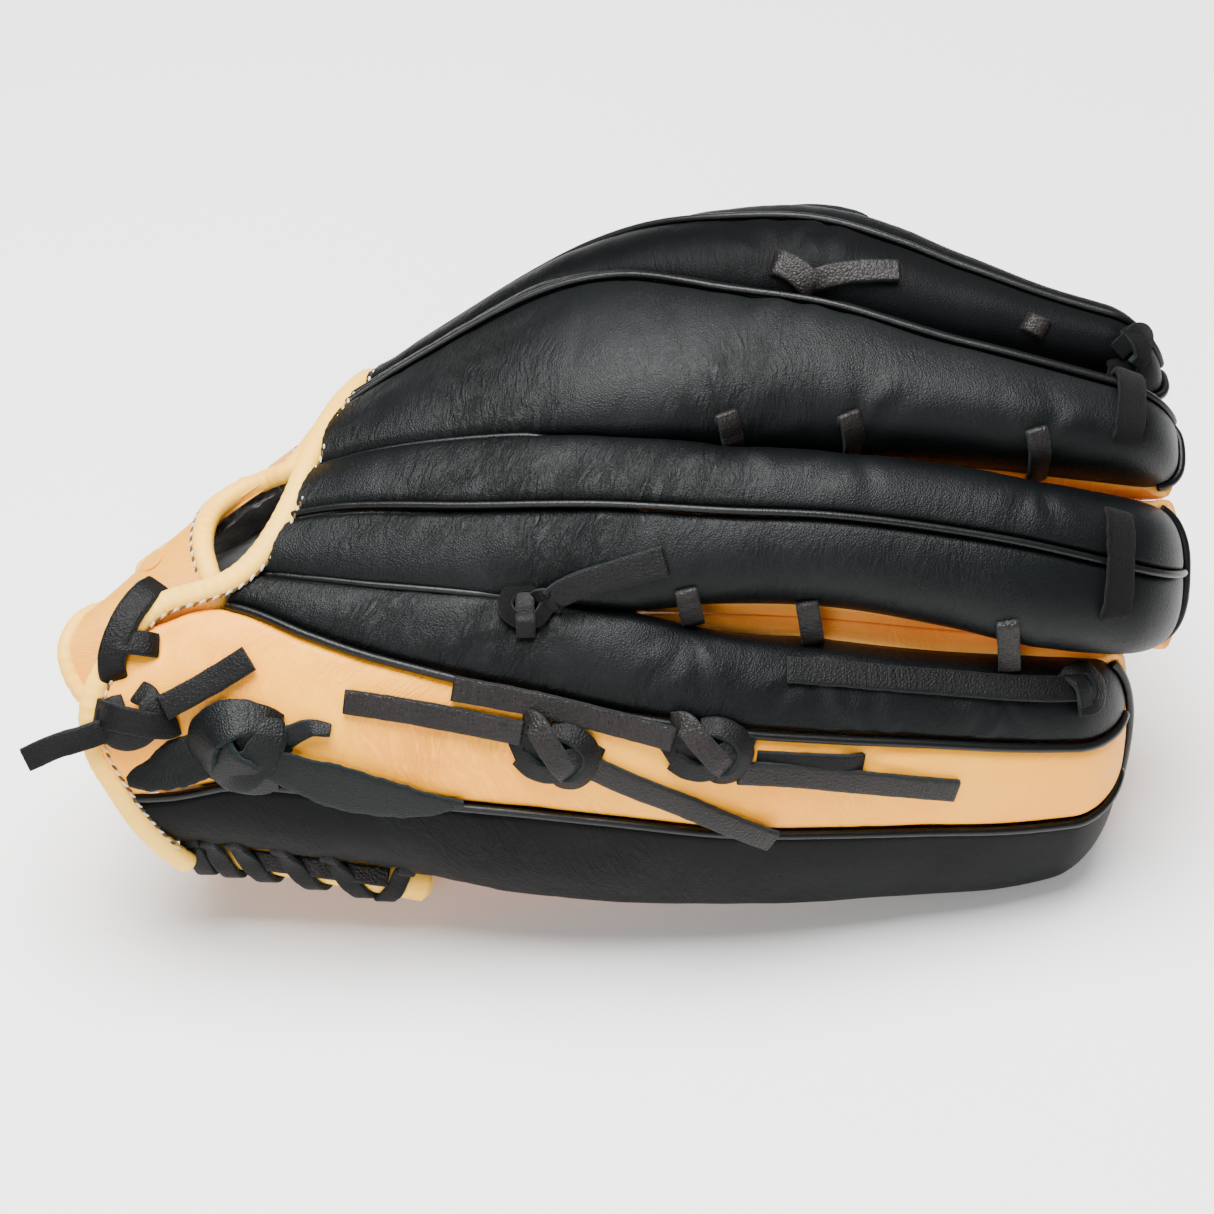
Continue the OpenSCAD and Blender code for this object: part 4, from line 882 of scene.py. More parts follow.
# Stations of the wrist's edge: x, angle and depth below the back's crown
BINDING_W, BINDING_T = 6.4, 5.6
wrist = smooth([(-66, 40, 0.8), (-68.6, 59, 0.8), (-76.3, 74, 0.4), (-81.8, 86, 0.4), (-85.3, 96, 0.6),
                (-89.5, 104, 0.6), (-94.5, 110.3, 0.2), (-101, 114.6, -0.4), (-110, 115.7, -0.4),
                (-118.5, 116, -0.2), (-124.5, 118.3, 0.2), (-130.5, 124, 0.6), (-135.3, 131, 1.0),
                (-138.6, 138.5, 1.2), (-139.6, 147, 1.4), (-137.8, 157, 1.4), (-133, 168, 1.4),
                (-127.3, 181, 1.2), (-121.5, 192, 1.2), (-116.5, 200.5, 1.4)], 420)
x, a, depth = wrist.T
binding("back_binding_finger_side", at(x, a, back_radius(x, a) - depth - 0.4), out_dir(a), BINDING_W / 2,
        BINDING_T / 2, "finger", ["back_binding_finger_side"], stitch_side=-1, stitch_to=0.965, on_skin=True)

thumb_wrist = smooth([(-104.6, 33), (-107, 28.5), (-113, 26.4), (-122, 25.6), (-130.5, 22.5), (-135, 15),
                      (-134.5, 4), (-129.5, -9), (-122.5, -20), (-118.5, -29)], 220)
x, a = thumb_wrist.T
binding("back_binding_thumb_side", at(x, a, back_radius(x, a) - 1 - heel_draw(x, a)), out_dir(a),
        BINDING_W / 2, BINDING_T / 2, "thumb", ["back_binding_thumb_side"], stitch_side=1)

for name, a0, a1, body in (("palm_binding_finger_side", 43, 211, "finger"),
                           ("palm_binding_thumb_side", -31, 31, "thumb")):
    a = np.linspace(a0, a1, 160)
    r = back_radius(HEEL_X, a) - GLOVE_T + 3 + 0.3 * np.sin(a * 0.9)
    binding(name, at(HEEL_X - 3.2, a, r), out_dir(a), 2.6, 3.0, body, [name])

# ---------------------------------------------------------------- Fingertip piping
# A thin roll of black glazed leather closes the seam between back and palm round each fingertip. It is sewn
# in between the two hides and turned out with them.

PIPING_R = 1.3


def tip_piping(finger, n=60):
    """The roll round one fingertip, 1.2 mm beyond it."""
    s = 0.02 + 0.96 * (0.5 - 0.5 * np.cos(np.pi * np.linspace(0, 1, n)))
    x = tip_x(finger, s) + 1.2
    x_skin = np.minimum(x, finger.tip)
    a = across(finger, x_skin, s)
    return tube(at(x, a, back_radius(x_skin, a) - CROWN), out_dir(a), PIPING_R, PIPING_R, 10)


for name, fingers, body in (("fingertip_piping", (INDEX, MIDDLE, RING, PINKY), "finger"),
                            ("thumb_tip_piping", (THUMB,), "thumb")):
    points, faces = joined([tip_piping(finger) for finger in fingers])
    obj = piece(name, points, faces, [welt_black], points / 1000, np.full(len(points), 0.2))
    fasten(obj, body, "black_welt", name)

# ---------------------------------------------------------------- Wrist strap
# A wide tan strap crosses the wrist from the thumb's heel to the little finger's, with cream rolled edges and
# black fleece under it. It leaves one hole, for the index finger, beside the hand's rolled edge.

# Tan steerhide, oiled and handled: paler and pinker than the sides, satin, with few creases
strap_tan = hide_material("tan_steerhide_strap", "#de9210", "#b87016", "#e49e1e", 0.50, 0.8, 0.04, 0.12, 0.3)
# Synthetic fleece, knitted and brushed: black, matt, tufted
black_fleece = cloth_material("black_fleece", "#0a0806", "#211b16", 1.8, 1.0, 0.4)
STRAP_T, FLEECE_T, FLEECE_INSET, FACE_ROWS, FACE_COLS = 2.4, 3.5, 3, 150, 30
# The strap bends between these two places as the pocket folds
bends["strap"] = (at(-125.0, 112.0, 56.0), at(-100.0, 55.0, 56.0))
# Its stations: x, angle and depth of the inner edge, then of the outer edge
strap = smooth([(-86, 12, 6, -120, 12, 9), (-84, 35, 6.4, -117, 35, 12), (-82, 54, 7, -118, 54, 16),
                (-83.5, 67, 7.4, -124, 66, 20), (-87.5, 76.5, 7.0, -130, 76, 22),
                (-95, 74.5, 7.0, -134, 84, 22), (-103, 74, 6.4, -137, 92, 19),
                (-108.6, 79, 5.6, -139.5, 99, 15), (-111, 87, 4.8, -142, 105, 10.5),
                (-111, 97, 4.6, -144.6, 111.5, 6), (-109, 106, 4.8, -146.6, 117.5, 4.2),
                (-107, 113, 6.2, -147.2, 123.5, 4.2), (-107, 121, 7.6, -145.5, 131, 5.4),
                (-108, 132, 7.6, -142, 139, 7)], 900)


def strap_grid(rows, cols, inset, deep):
    """The strap's face, bowed over the wrist between its two edges."""
    k = strap[np.round(np.linspace(inset, len(strap) - 1 - inset, rows)).astype(int)]
    q = np.linspace(0.02 * inset, 1 - 0.02 * inset, cols)[None, :]
    x = k[:, 0:1] * (1 - q) + k[:, 3:4] * q
    a = k[:, 1:2] * (1 - q) + k[:, 4:5] * q
    d = k[:, 2:3] * (1 - q ** 1.7) + k[:, 5:6] * q ** 1.7 - 0.7 * np.sin(np.pi * q)
    points = at(x, a, back_radius(x, a) - d - deep)
    return points + out_dir(a) * (0.25 * swell(points, 22))[..., None], x, a


outer, x, a = strap_grid(FACE_ROWS, FACE_COLS, 0, 0)
inner = strap_grid(FACE_ROWS, FACE_COLS, 0, STRAP_T)[0]
points, faces = slab(outer, inner)
flat = np.concatenate([np.stack([a * 1.1, x, 0 * x], -1).reshape(-1, 3)] * 2) / 1000
obj = piece("wrist_strap", points, faces, [strap_tan], flat, np.full(len(points), 0.4))
fasten(obj, "strap", "tan_leather", "wrist_strap")

outer = strap_grid(110, 20, FLEECE_INSET, STRAP_T + 0.2)[0]
inner, x, a = strap_grid(110, 20, FLEECE_INSET, STRAP_T + FLEECE_T)
tuft = 0.7 * swell(inner, 3.1) + 0.5 * swell(inner, 1.6)
points, faces = slab(outer, inner + out_dir(a) * tuft[..., None])
obj = piece("strap_fleece", points, faces, [black_fleece])
fasten(obj, "strap", "black_fleece", "strap_fleece")

edges, _, a = strap_grid(420, 2, 0, STRAP_T / 2)
binding("strap_inner_binding", edges[:, 0], out_dir(a[:, 0]), 3.0, 2.9, "strap", ["strap_binding"],
        stitch_side=1, stitch_from=0.42, stitch_to=0.86)
binding("strap_outer_binding", edges[:, 1], out_dir(a[:, 1]), 2.2, 2.3, "strap", [], stitch_side=-1,
        stitch_from=0.5)


def strap_spot(angle, x):
    """Place on the strap's face nearest to an angle and x, with its outward and its lengthwise direction."""
    face, face_x, face_a = strap_grid(FACE_ROWS, FACE_COLS, 0, 0)
    i, j = np.unravel_index(np.argmin(np.hypot(face_x - x, (face_a - angle) * 1.1)), face_x.shape)
    along_strap, over_strap = face[i + 1, j] - face[i - 1, j], face[i, j - 1] - face[i, j + 1]
    n = unit(np.cross(over_strap, along_strap))
    return face[i, j], n if n @ out_dir(np.float64(angle)) > 0 else -n, unit(along_strap)


# A bare sewn patch, slightly domed
PATCH_HALF_LONG, PATCH_HALF_WIDE = 4.6, 3.4
place, n, run_dir = strap_spot(96, -125)
side = np.cross(n, run_dir)
u, v = np.meshgrid(np.linspace(-1, 1, 15), np.linspace(-1, 1, 15), indexing="ij")
round_u, round_v = u * np.sqrt(1 - v ** 2 / 2), v * np.sqrt(1 - u ** 2 / 2)
disc = place + round_u[..., None] * run_dir * PATCH_HALF_LONG + round_v[..., None] * side * PATCH_HALF_WIDE
dome = 0.25 * (1 - (u ** 4 + v ** 4) / 2)
points, faces = slab(disc + n * (0.12 + dome)[..., None], disc - n * 0.6)
obj = piece("strap_patch", points, faces, [strap_tan], points / 1000, np.full(len(points), 0.2))
fasten(obj, "strap", "tan_leather", "strap_patch")

# Brass rivet, stamped and aged: dull warm grey-gold with dark stain, blurred reflections
material, tree = blank("aged_brass_rivet")
body = add(tree, "TexCoord", {}, "Object")
stain = add(tree, "TexNoise", {"Vector": body, "Scale": 900.0, "Detail": 4.0})
tone = add(tree, "Mix", {"Factor": stain, 6: linear("#8f7c5c"), 7: linear("#c4b48f")}, 2, data_type="RGBA")
metal = add(tree, "BsdfPrincipled", {"Base Color": tone, "Metallic": 0.85, "Roughness": 0.45})
add(tree, "OutputMaterial", {"Surface": metal})
RIVET_SIDES = 24
rivet_profile = [(1.95, -0.5), (2.0, 0.1), (1.85, 0.42), (1.3, 0.62), (0.6, 0.5), (0.15, 0.42)]
place, n, run_dir = strap_spot(106, -127.5)
turn = np.linspace(0, 2 * np.pi, RIVET_SIDES, endpoint=False)[:, None]
circle = np.cos(turn) * run_dir + np.sin(turn) * np.cross(n, run_dir)
points = np.concatenate([place + n * h + r * circle for r, h in rivet_profile])
faces, last = [], len(points) - RIVET_SIDES
for first in range(0, last, RIVET_SIDES):
    for k in range(RIVET_SIDES):
        a, b = first + k, first + (k + 1) % RIVET_SIDES
        faces.append([a, b, b + RIVET_SIDES, a + RIVET_SIDES])
faces += [list(range(RIVET_SIDES))[::-1], [last + k for k in range(RIVET_SIDES)]]
fasten(piece("strap_rivet", points, faces, [material]), "strap", "brass", "strap_rivet")

# ---------------------------------------------------------------- Web
# The web between the index finger and the thumb is a black H: a top piece, a post and two tan bases. It is
# split down the fold, and tied to the two fingers with rawhide lace.

# Black steerhide, two layers glued and pressed flat: near-black, low sheen, firm small grain
web_black = hide_material("black_steerhide_web", "#050606", "#030404", "#0a0c0d", 0.45, 0.8, 0.05, 0.12, 0.14)
WEB_T, WEB_HANG, WEB_RISE, WEB_ROWS, WEB_COLS = 4.0, 0.06, 0.8, 44, 26


def web_r(x, a):
    """Radius of the web, which hangs a little towards the pocket."""
    return (1 - WEB_HANG) * back_radius(x, a) - CROWN + WEB_RISE


# Each part's x range, then its low and high edges' angles at both ends
for name, x0, x1, low, high, material in (
        ("web_base_index_side", 14, 34, (39.2, 39.2), (42, 50.4), palm_tan),
        ("web_base_thumb_side", 14, 34, (32.4, 24.6), (34.8, 34.8), palm_tan),
        ("web_post_index_side", 34.4, 89.6, (41, 42), (47, 53), web_black),
        ("web_post_thumb_side", 34.4, 89.6, (27, 24), (33, 33), web_black),
        ("web_top_index_side", 90, 118, (39, 39), (60, 69), web_black),
        ("web_top_thumb_side", 90, 118, (18, 15), (35, 35), web_black)):
    u, v = np.meshgrid(np.linspace(0, 1, WEB_ROWS), np.linspace(0, 1, WEB_COLS), indexing="ij")
    x = x0 + (x1 - x0) * u
    a = (low[0] + (low[1] - low[0]) * u) * (1 - v) + (high[0] + (high[1] - high[0]) * u) * v
    soft = WEB_T / 2 * rounded(WEB_ROWS, WEB_COLS, 5)
    middle = web_r(x, a) + WEB_T / 2 + 0.25 * swell(at(x, a, 60.0), 12)
    points, faces = slab(at(x, a, middle + soft), at(x, a, middle - soft))
    obj = piece(name, points, faces, [material], points / 1000, np.full(len(points), 0.4))
    fasten(obj, "finger" if "index" in name else "thumb",
           "tan_leather" if material is palm_tan else "black_leather", name)

# ---------------------------------------------------------------- Rawhide laces
# Flat laces cut from oil-tanned rawhide, grained on the face and raw and bluish on the cut edges. They pass
# through slits in the hide, and their ends are knotted and trimmed square.

# Rawhide, oil tanned and dyed on one face: brownish black, pebbled coarsely, a dull broken shine
lace_face = hide_material("brown_black_rawhide_face", "#100e0d", "#060505", "#1a1615", 0.42, 1.1, 0.12, 0.25,
                          0.2)
# The same lace, blacker, smoother and duller: for the darker laces, and as painted shade on the strands that
# lie under and inside the knots
dark_and_shaded_lace = hide_material("black_rawhide_face", "#050505", "#020202", "#0b0b0b", 0.5, 1.0, 0.09, 0.2, 0.14)
# Cut edge of the lace, undyed inside and stained by oil: fibrous blue-black, no shine
raw_edge = cloth_material("raw_suede_lace_edge", "#070b0c", "#192225", 0.5, 0.95, 0.05)
# Suede, buffed on both faces: deep black that drinks the light, with a faint nap
fuzzy_black = cloth_material("fuzzy_black_suede", "#020202", "#090909", 0.7, 1.0, 0.03)
LACE_W, LACE_T, RIBBON_SIDES = 6.8, 2.0, 20
# The sides of a ribbon's section that are its two cut edges
cut_sides = {k % RIBBON_SIDES for k in range(-2, 2)} | {RIBBON_SIDES // 2 + k for k in range(-2, 2)}


def ribbon(name, centre, normals, w, t, face=lace_face, nodes=(), body="finger", slot="rawhide_lace",
           ragged=0.1, edges=raw_edge):
    """A flat lace along centre, its face turned to normals, its width uneven by about a third of ragged."""
    n = len(centre)
    w = np.broadcast_to(w, n) * (1 + ragged / 3 * swell(centre, 2.2))
    ring, faces = tube(centre, normals, w / 2, np.broadcast_to(t, n) / 2, RIBBON_SIDES, 5.5, taper=False)
    round_mm = np.cos(2 * np.pi * np.arange(RIBBON_SIDES) / RIBBON_SIDES) * LACE_W / 2
    flat = strip_flat(length_along(centre), round_mm)
    obj = piece(name, ring, faces, [face, edges], flat, np.full(len(ring), 0.5))
    ends = (n - 1) * RIBBON_SIDES
    for k, polygon in enumerate(obj.data.polygons):
        if k >= ends or k % RIBBON_SIDES in cut_sides:
            polygon.material_index = 1
            polygon.use_smooth = k < ends
    fasten(obj, body, slot, *nodes)
    return obj


def skin_path(stations, t, n=None):
    """Centre line and normals of a lace over the skin, from stations of x, angle and clear height."""
    x, angle, height = smooth(stations, n or 24 * (len(stations) - 1)).T
    dirs = skin_dir(x, angle)
    return skin(x, angle) + dirs * (height + t / 2)[:, None], dirs


def tail(name, stations, w=LACE_W, t=LACE_T, face=lace_face, nodes=()):
    """A lace lying on the skin. A free one is the loose end of a knotted lace, as long as its centre line."""
    centre, dirs = skin_path(stations, t)
    obj = ribbon(name, centre, dirs, w, t, face, nodes)


def local(x, angle, height, turn=0.0):
    """A frame on the skin: origin, direction along the glove, direction across it, and outward."""
    x, angle = np.float64(x), np.float64(angle)
    n = skin_dir(x, angle)
    u = skin(x + 2, angle) - skin(x - 2, angle)
    u = unit(u - n * (u @ n))
    v = np.cross(n, u)
    if v @ (skin(x, angle + 2) - skin(x, angle - 2)) < 0:
        v = -v
    c, s = math.cos(math.radians(turn)), math.sin(math.radians(turn))
    return skin(x, angle) + n * height, u * c + v * s, v * c - u * s, n


def placed(frame_at, places):
    """Points from their distances in mm along a local frame's three directions."""
    o, u, v, n = frame_at
    places = np.asarray(places, float)
    return o + places[..., 0:1] * u + places[..., 1:2] * v + places[..., 2:3] * n


def square_to(d, way):
    """Directions way, turned square to directions d."""
    return unit(way - d * (way * d).sum(1, keepdims=True))


def knot_strand(name, frame_at, stations, w, t, face, nodes=(), core=(0, 0, 1.5), lie=1.9):
    """One wrap of a knot: stations of u, v and height in a local frame, faced away from the knot's core and
    laid down towards the skin."""
    centre = placed(frame_at, smooth(stations, 16 * (len(stations) - 1)))
    d = tangents(centre)
    away = square_to(d, square_to(d, centre - placed(frame_at, core)) + lie * frame_at[3])
    for _ in range(3):
        away[1:-1] = (away[:-2] + 2 * away[1:-1] + away[2:]) / 4
    ribbon(name, centre, away, w, t, face, nodes)


# Laces that tie neighbouring fingers together across the gaps, each from slit to slit
GAP_SAMPLES, SLIT_DEPTH, SLIT_SHARE = 56, 4.2, 0.12
u = np.linspace(0, 1, GAP_SAMPLES)
for k, (x, a0, a1) in enumerate(((33, 107.2, 110.9), (66, 111, 114.5), (117, 118.6, 123.8),
                                 (22, 136.8, 143.4), (54.5, 142, 151), (108.5, 150.2, 162.4))):
    a = a0 + (a1 - a0) * u
    ground = skin_r(np.full(GAP_SAMPLES, float(x)), a)
    chord = ground[2] + (ground[-3] - ground[2]) * u
    r = np.maximum(ground, chord) + 0.4 + 0.5 * np.sin(np.pi * u) + LACE_T / 2
    r = np.convolve(np.pad(r, 4, mode="edge"), np.ones(9) / 9, "valid")
    for from_end in (u, 1 - u):
        r = r - SLIT_DEPTH * np.clip(1 - from_end / SLIT_SHARE, 0, 1) ** 1.5
    ribbon("finger_gap_lace_%d" % (k + 1), at(x + 2.4 * (u - 0.5), a, r), out_dir(a), 6.2, LACE_T,
           nodes=["finger_gap_laces"] if k == 0 else ())

# Laces that tie the web's two sides to the index finger and to the thumb
u = np.linspace(0, 1, 30)
for name, ties, finger, body in (
        ("web_lacing_index_side", ((44, 43), (58, 44.8), (72, 46.5), (97, 56), (110, 56)), INDEX, "finger"),
        ("web_lacing_thumb_side", ((44, 29), (58, 29), (72, 29)), THUMB, "thumb")):
    for k, (x, a0) in enumerate(ties):
        a1 = edge(finger, False, x) - 0.6 if finger is INDEX else edge(finger, True, x) + 0.6
        a = a0 + (a1 - a0) * u
        r0, r1 = web_r(x, a0) + WEB_T + 1.8 + LACE_T / 2, back_radius(x, a1) - CROWN
        r = r0 + (r1 - r0) * u + 0.5 * np.sin(np.pi * u)
        ribbon(name + "_%d" % (k + 1), at(float(x), a, r), out_dir(a), 5.0, LACE_T,
               nodes=[name] if k == 0 else (), body=body)

# Fuzzy suede loops that close the fingertips
TIP_LACE_W, TIP_LACE_T = 8.0, 2.4
for name, nodes, stations in (
        ("middle_fingertip_lace", ["fingertip_laces"],
         [(143, 101, -2.6), (143.4, 102.5, 0.6), (143, 108, 1.1), (142.3, 115, 1.1), (141.2, 121, 0.6),
          (141, 122.5, -2.6)]),
        ("ring_fingertip_lace", [],
         [(138, 135, -2.6), (137.8, 136.6, 0.6), (137.6, 142, 1.1), (137.3, 148, 1.1), (136.8, 152, 0.6),
          (136.8, 153.5, -2.6)])):
    centre, dirs = skin_path(stations, TIP_LACE_T, 110)
    ribbon(name, centre, dirs, TIP_LACE_W, TIP_LACE_T, fuzzy_black, nodes, ragged=0.3, edges=fuzzy_black)
spot = local(146, 99, 0.4)
knot_strand("index_fingertip_lace", spot,
            [(-4, 3, -1.5), (-2.5, 0.5, 1.6), (0.5, -2.5, 2.6), (4, -2, 1.6), (5, 2, -1.0)], 5.5, 2.4,
            fuzzy_black)
knot_strand("index_fingertip_lace_end", spot,
            [(-2.5, -3.5, 0.8), (0, 0.5, 3.4), (2, 4, 2.0), (1, 6.5, 0.2)], 5.5, 2.2, fuzzy_black)

# Lace through the index finger's back, the stub nearer its tip, and the lace's other pass towards the web
tail("index_back_lace", [(46.5, 79, -1.5), (48, 79.4, 0.5), (53, 81, 0.9), (56.5, 82.5, 0.4), (58, 83, -1.5)],
     w=7.5)
tail("index_back_lace_end", [(56, 82.2, -1.0), (60, 82.4, 1.0), (70, 83.2, 1.4), (80.5, 84.2, 1.7)], w=6.4)
tail("index_tip_lace", [(116, 93.5, -1.6), (117.4, 94, 0.4), (120.5, 94.9, 0.4), (122, 95.4, -1.6)], w=5.4)
x = np.array([46, 48, 56, 66, 73, 75.0])
tail("index_web_lace", np.stack([x, edge(INDEX, False, x) + 3, [-1.5, 0.6, 1.4, 1.4, 0.6, -1.5]], -1), w=6.4,
     face=dark_and_shaded_lace)

# Knot at the crotch of the ring and little fingers: a ring of lace with the end drawn through it
spot = local(-21.5, 135, 0.2)
loop = [(5.6 * math.cos(t), 5.2 * math.sin(t), 1.8 + 0.7 * math.sin(t))
        for t in np.linspace(0.35, 2 * np.pi + 0.1, 9)]
knot_strand("finger_crotch_knot", spot, loop, 4.2, 1.9, fuzzy_black, core=(0, 0, -1))
knot_strand("finger_crotch_band", spot, [(-1.6, 8.5, 0.2), (-1.2, 5.6, 3.6), (-0.6, 1, 2.0), (0.2, -3, 1.4)],
            5.2, 1.8, dark_and_shaded_lace, core=(0, 2, -3))
tail("finger_crotch_lace",
     [(-19, 134.6, 0.6), (-14, 133.6, 2.2), (-6, 132.6, 2.2), (4, 132.2, 1.6), (15.5, 131.6, 1.4)],
     w=np.linspace(6.2, 8.6, 96), t=1.8, nodes=["finger_crotch_lace"], face=dark_and_shaded_lace)

# Little fingertip: a flat knot and its long end, laid back along the finger
spot = local(129.5, 168.5, 0.2)
knot_strand("pinky_tip_knot", spot,
            [(-4.5, -3, 0.8), (-2, -5.5, 2.4), (3, -4.5, 3.0), (4.6, 1, 2.8), (1, 5.4, 2.4), (-4, 4.4, 1.2)],
            4.6, 1.9, dark_and_shaded_lace, core=(0, 0, -1))
knot_strand("pinky_tip_knot_band", spot,
            [(-2.6, -6.5, 0.4), (-2.2, -3.5, 3.4), (-2, 0, 4.0), (-2.4, 4.5, 2.4)], 4.8, 1.8, dark_and_shaded_lace,
            core=(-2, 0, -2))
tail("pinky_tip_lace",
     [(127.5, 168, 1.2), (118, 166.2, 1.1), (103, 163.4, 0.5), (80, 159.4, 0.4), (64, 156.6, 0.4),
      (48, 154, 0.4)], w=7.2, t=1.8, nodes=["pinky_tip_lace"], face=dark_and_shaded_lace)

# The two overhand knots on the side panel and their loose ends
tail("side_lace_1_left", [(-22.5, 158.2, 1.6), (-34, 156, 0.8), (-52, 152.2, 0.5), (-70, 148.6, 0.5)],
     nodes=["side_laces"])
tail("side_lace_1_right",
     [(-5, 165.2, 1.8), (6, 169.6, 1.2), (20, 174.4, 1.2), (32, 178.6, 2.2), (44.5, 183.2, 2.6)])
tail("side_lace_2_left", [(17.5, 161.8, 2.2), (4, 158.6, 1.0), (-18, 153.4, 0.6), (-41, 148.5, 0.5)])
tail("side_lace_2_right", [(35, 169.2, 1.6), (50, 171.4, 0.7), (72, 175.4, 0.5), (95, 179.8, 0.5)])
# The end under the second knot takes the darker lace as painted shade
tail("side_lace_2_under", [(40, 168.0, -0.6), (52, 169.4, 0.1), (64, 171, 0.1), (69, 171.8, -1.8)], w=5.6,
     face=dark_and_shaded_lace)
# The strand on top keeps the lace's face; the loop, inner and under strands take the darker lace as painted
# shade
for k, (x, angle, turn) in enumerate(((-13.5, 162.6, 12), (27, 164.6, 4))):
    spot = local(x, angle, 0.3, turn)
    name = "side_knot_%d" % (k + 1)
    knot_strand(name + "_over", spot,
                [(-9.4, -7.6, 0.6), (-6.6, -8.4, 3.4), (-3, -4.2, 5.8), (1.2, 1.0, 6.0), (4.0, 4.4, 4.4),
                 (5, 7.2, 1.6)], 6.6, 2.0, lace_face, core=(-1, 0, 0))
    knot_strand(name + "_loop", spot,
                [(-2, -6.2, 1.6), (3, -6.6, 3.0), (8, -3.6, 3.6), (9.4, 1.4, 3.6), (6.4, 6.6, 3.4),
                 (2.2, 7.4, 2.8), (0.4, 4.6, 2.4)], 5.8, 2.2, dark_and_shaded_lace, core=(3.4, 0.6, 1.0), lie=0.75)
    knot_strand(name + "_inner", spot,
                [(-9.8, 2.4, 1.4), (-6, 4.8, 2.8), (-1.4, 5.6, 3.0), (3.2, 3.4, 4.4), (6.2, -0.2, 4.8),
                 (4.8, -3.4, 3.8)], 6.4, 1.9, dark_and_shaded_lace, core=(0, 1, 0))
    knot_strand(name + "_under", spot,
                [(-12, 0.4, 0.8), (-8.6, -1.8, 1.8), (-4, 0.2, 2.0), (1, 1.2, 1.8), (8, 0.4, 1.4),
                 (11.4, 1.6, 0.6)], 8.5, 2.0, dark_and_shaded_lace, core=(0, 0, -4))


def over_wrist(name, stations, n, w, t, nodes=(), ragged=0.1):
    """A lace clear of the hide at the wrist: stations of x, angle and height over the back's crown."""
    x, a, height = smooth(stations, n).T
    ribbon(name, at(x, a, back_radius(x, a) + height), out_dir(a), w, t, dark_and_shaded_lace, nodes, ragged=ragged)


# Wrist lace: an arc from under the rolled edge, the end that passes through the side panel, and the knot
over_wrist("strap_lace", [(-122, 110.2, -0.6), (-124.8, 113.4, 2.4), (-128.2, 117.8, 3.9), (-131, 123, 4.0),
                          (-132.9, 128.2, 3.2), (-133.2, 132.4, 1.4), (-132.8, 134.8, -1.4)],
           120, 7.6, 3.2, ["strap_lace"], 0.05)
tail("strap_lace_end",
     [(-131.4, 125.8, 3.6), (-127.6, 126.6, 2.6), (-123.6, 127.4, 0.9), (-121.4, 127.8, -1.4)], w=6.6, t=2.4,
     face=dark_and_shaded_lace)
spot = local(-126.5, 146.6, 0.4, -8)
knot_strand("strap_lace_knot_loop", spot,
            [(-2, -4.2, 1.4), (-5.6, -4.2, 2.8), (-7.6, -1.2, 3.4), (-6.4, 3.0, 3.6), (-2.4, 4.8, 3.6),
             (2.2, 3.6, 4.2), (5.0, -0.4, 4.4), (5.2, -4.6, 3.4), (2.6, -6.8, 1.8)], 6.6, 2.1, dark_and_shaded_lace,
            ["strap_lace_knot"], core=(-1.5, 0, 0.4))
knot_strand("strap_lace_knot_band", spot,
            [(-9.6, -4.6, 1.0), (-6.2, -2.8, 4.4), (-1.8, -0.6, 5.6), (3.4, 2.2, 4.8), (7.4, 4.0, 2.6),
             (10.2, 3.8, 0.9)], 7.4, 2.1, dark_and_shaded_lace, core=(0, 0, -2))
tail("strap_lace_tail_right",
     [(-118.6, 144.6, 3.4), (-112, 142.4, 2.6), (-104, 139.4, 1.6), (-95.5, 136, 1.2)], w=7.2, t=2.6,
     face=dark_and_shaded_lace)
over_wrist("strap_lace_tail_left",
           [(-135, 148.6, 3.0), (-141, 149.6, 5.0), (-148, 150.6, 6.4), (-156, 153.2, 6.6)], 80, 6.8, 2.4)

# ---------------------------------------------------------------- Little finger's loop strip
# A wide black strip, black leather on the face and teal-grey suede behind, folded through itself in a flat
# knot, with a ragged end towards the wrist and a long tapering one along the side.

# Black leather, oiled and worked soft: low broken sheen, deep creases where it is folded
strip_black = hide_material("black_oiled_strip", "#040606", "#020303", "#090c0d", 0.42, 0.9, 0.07, 0.25, 0.16)
# Its flesh side, buffed: matt teal-grey nap that shows along the cut edges
teal_suede = cloth_material("teal_grey_suede", "#060d0e", "#152224", 0.7, 0.97, 0.05)
spot = local(-95, 156.5, 0.3, 4)

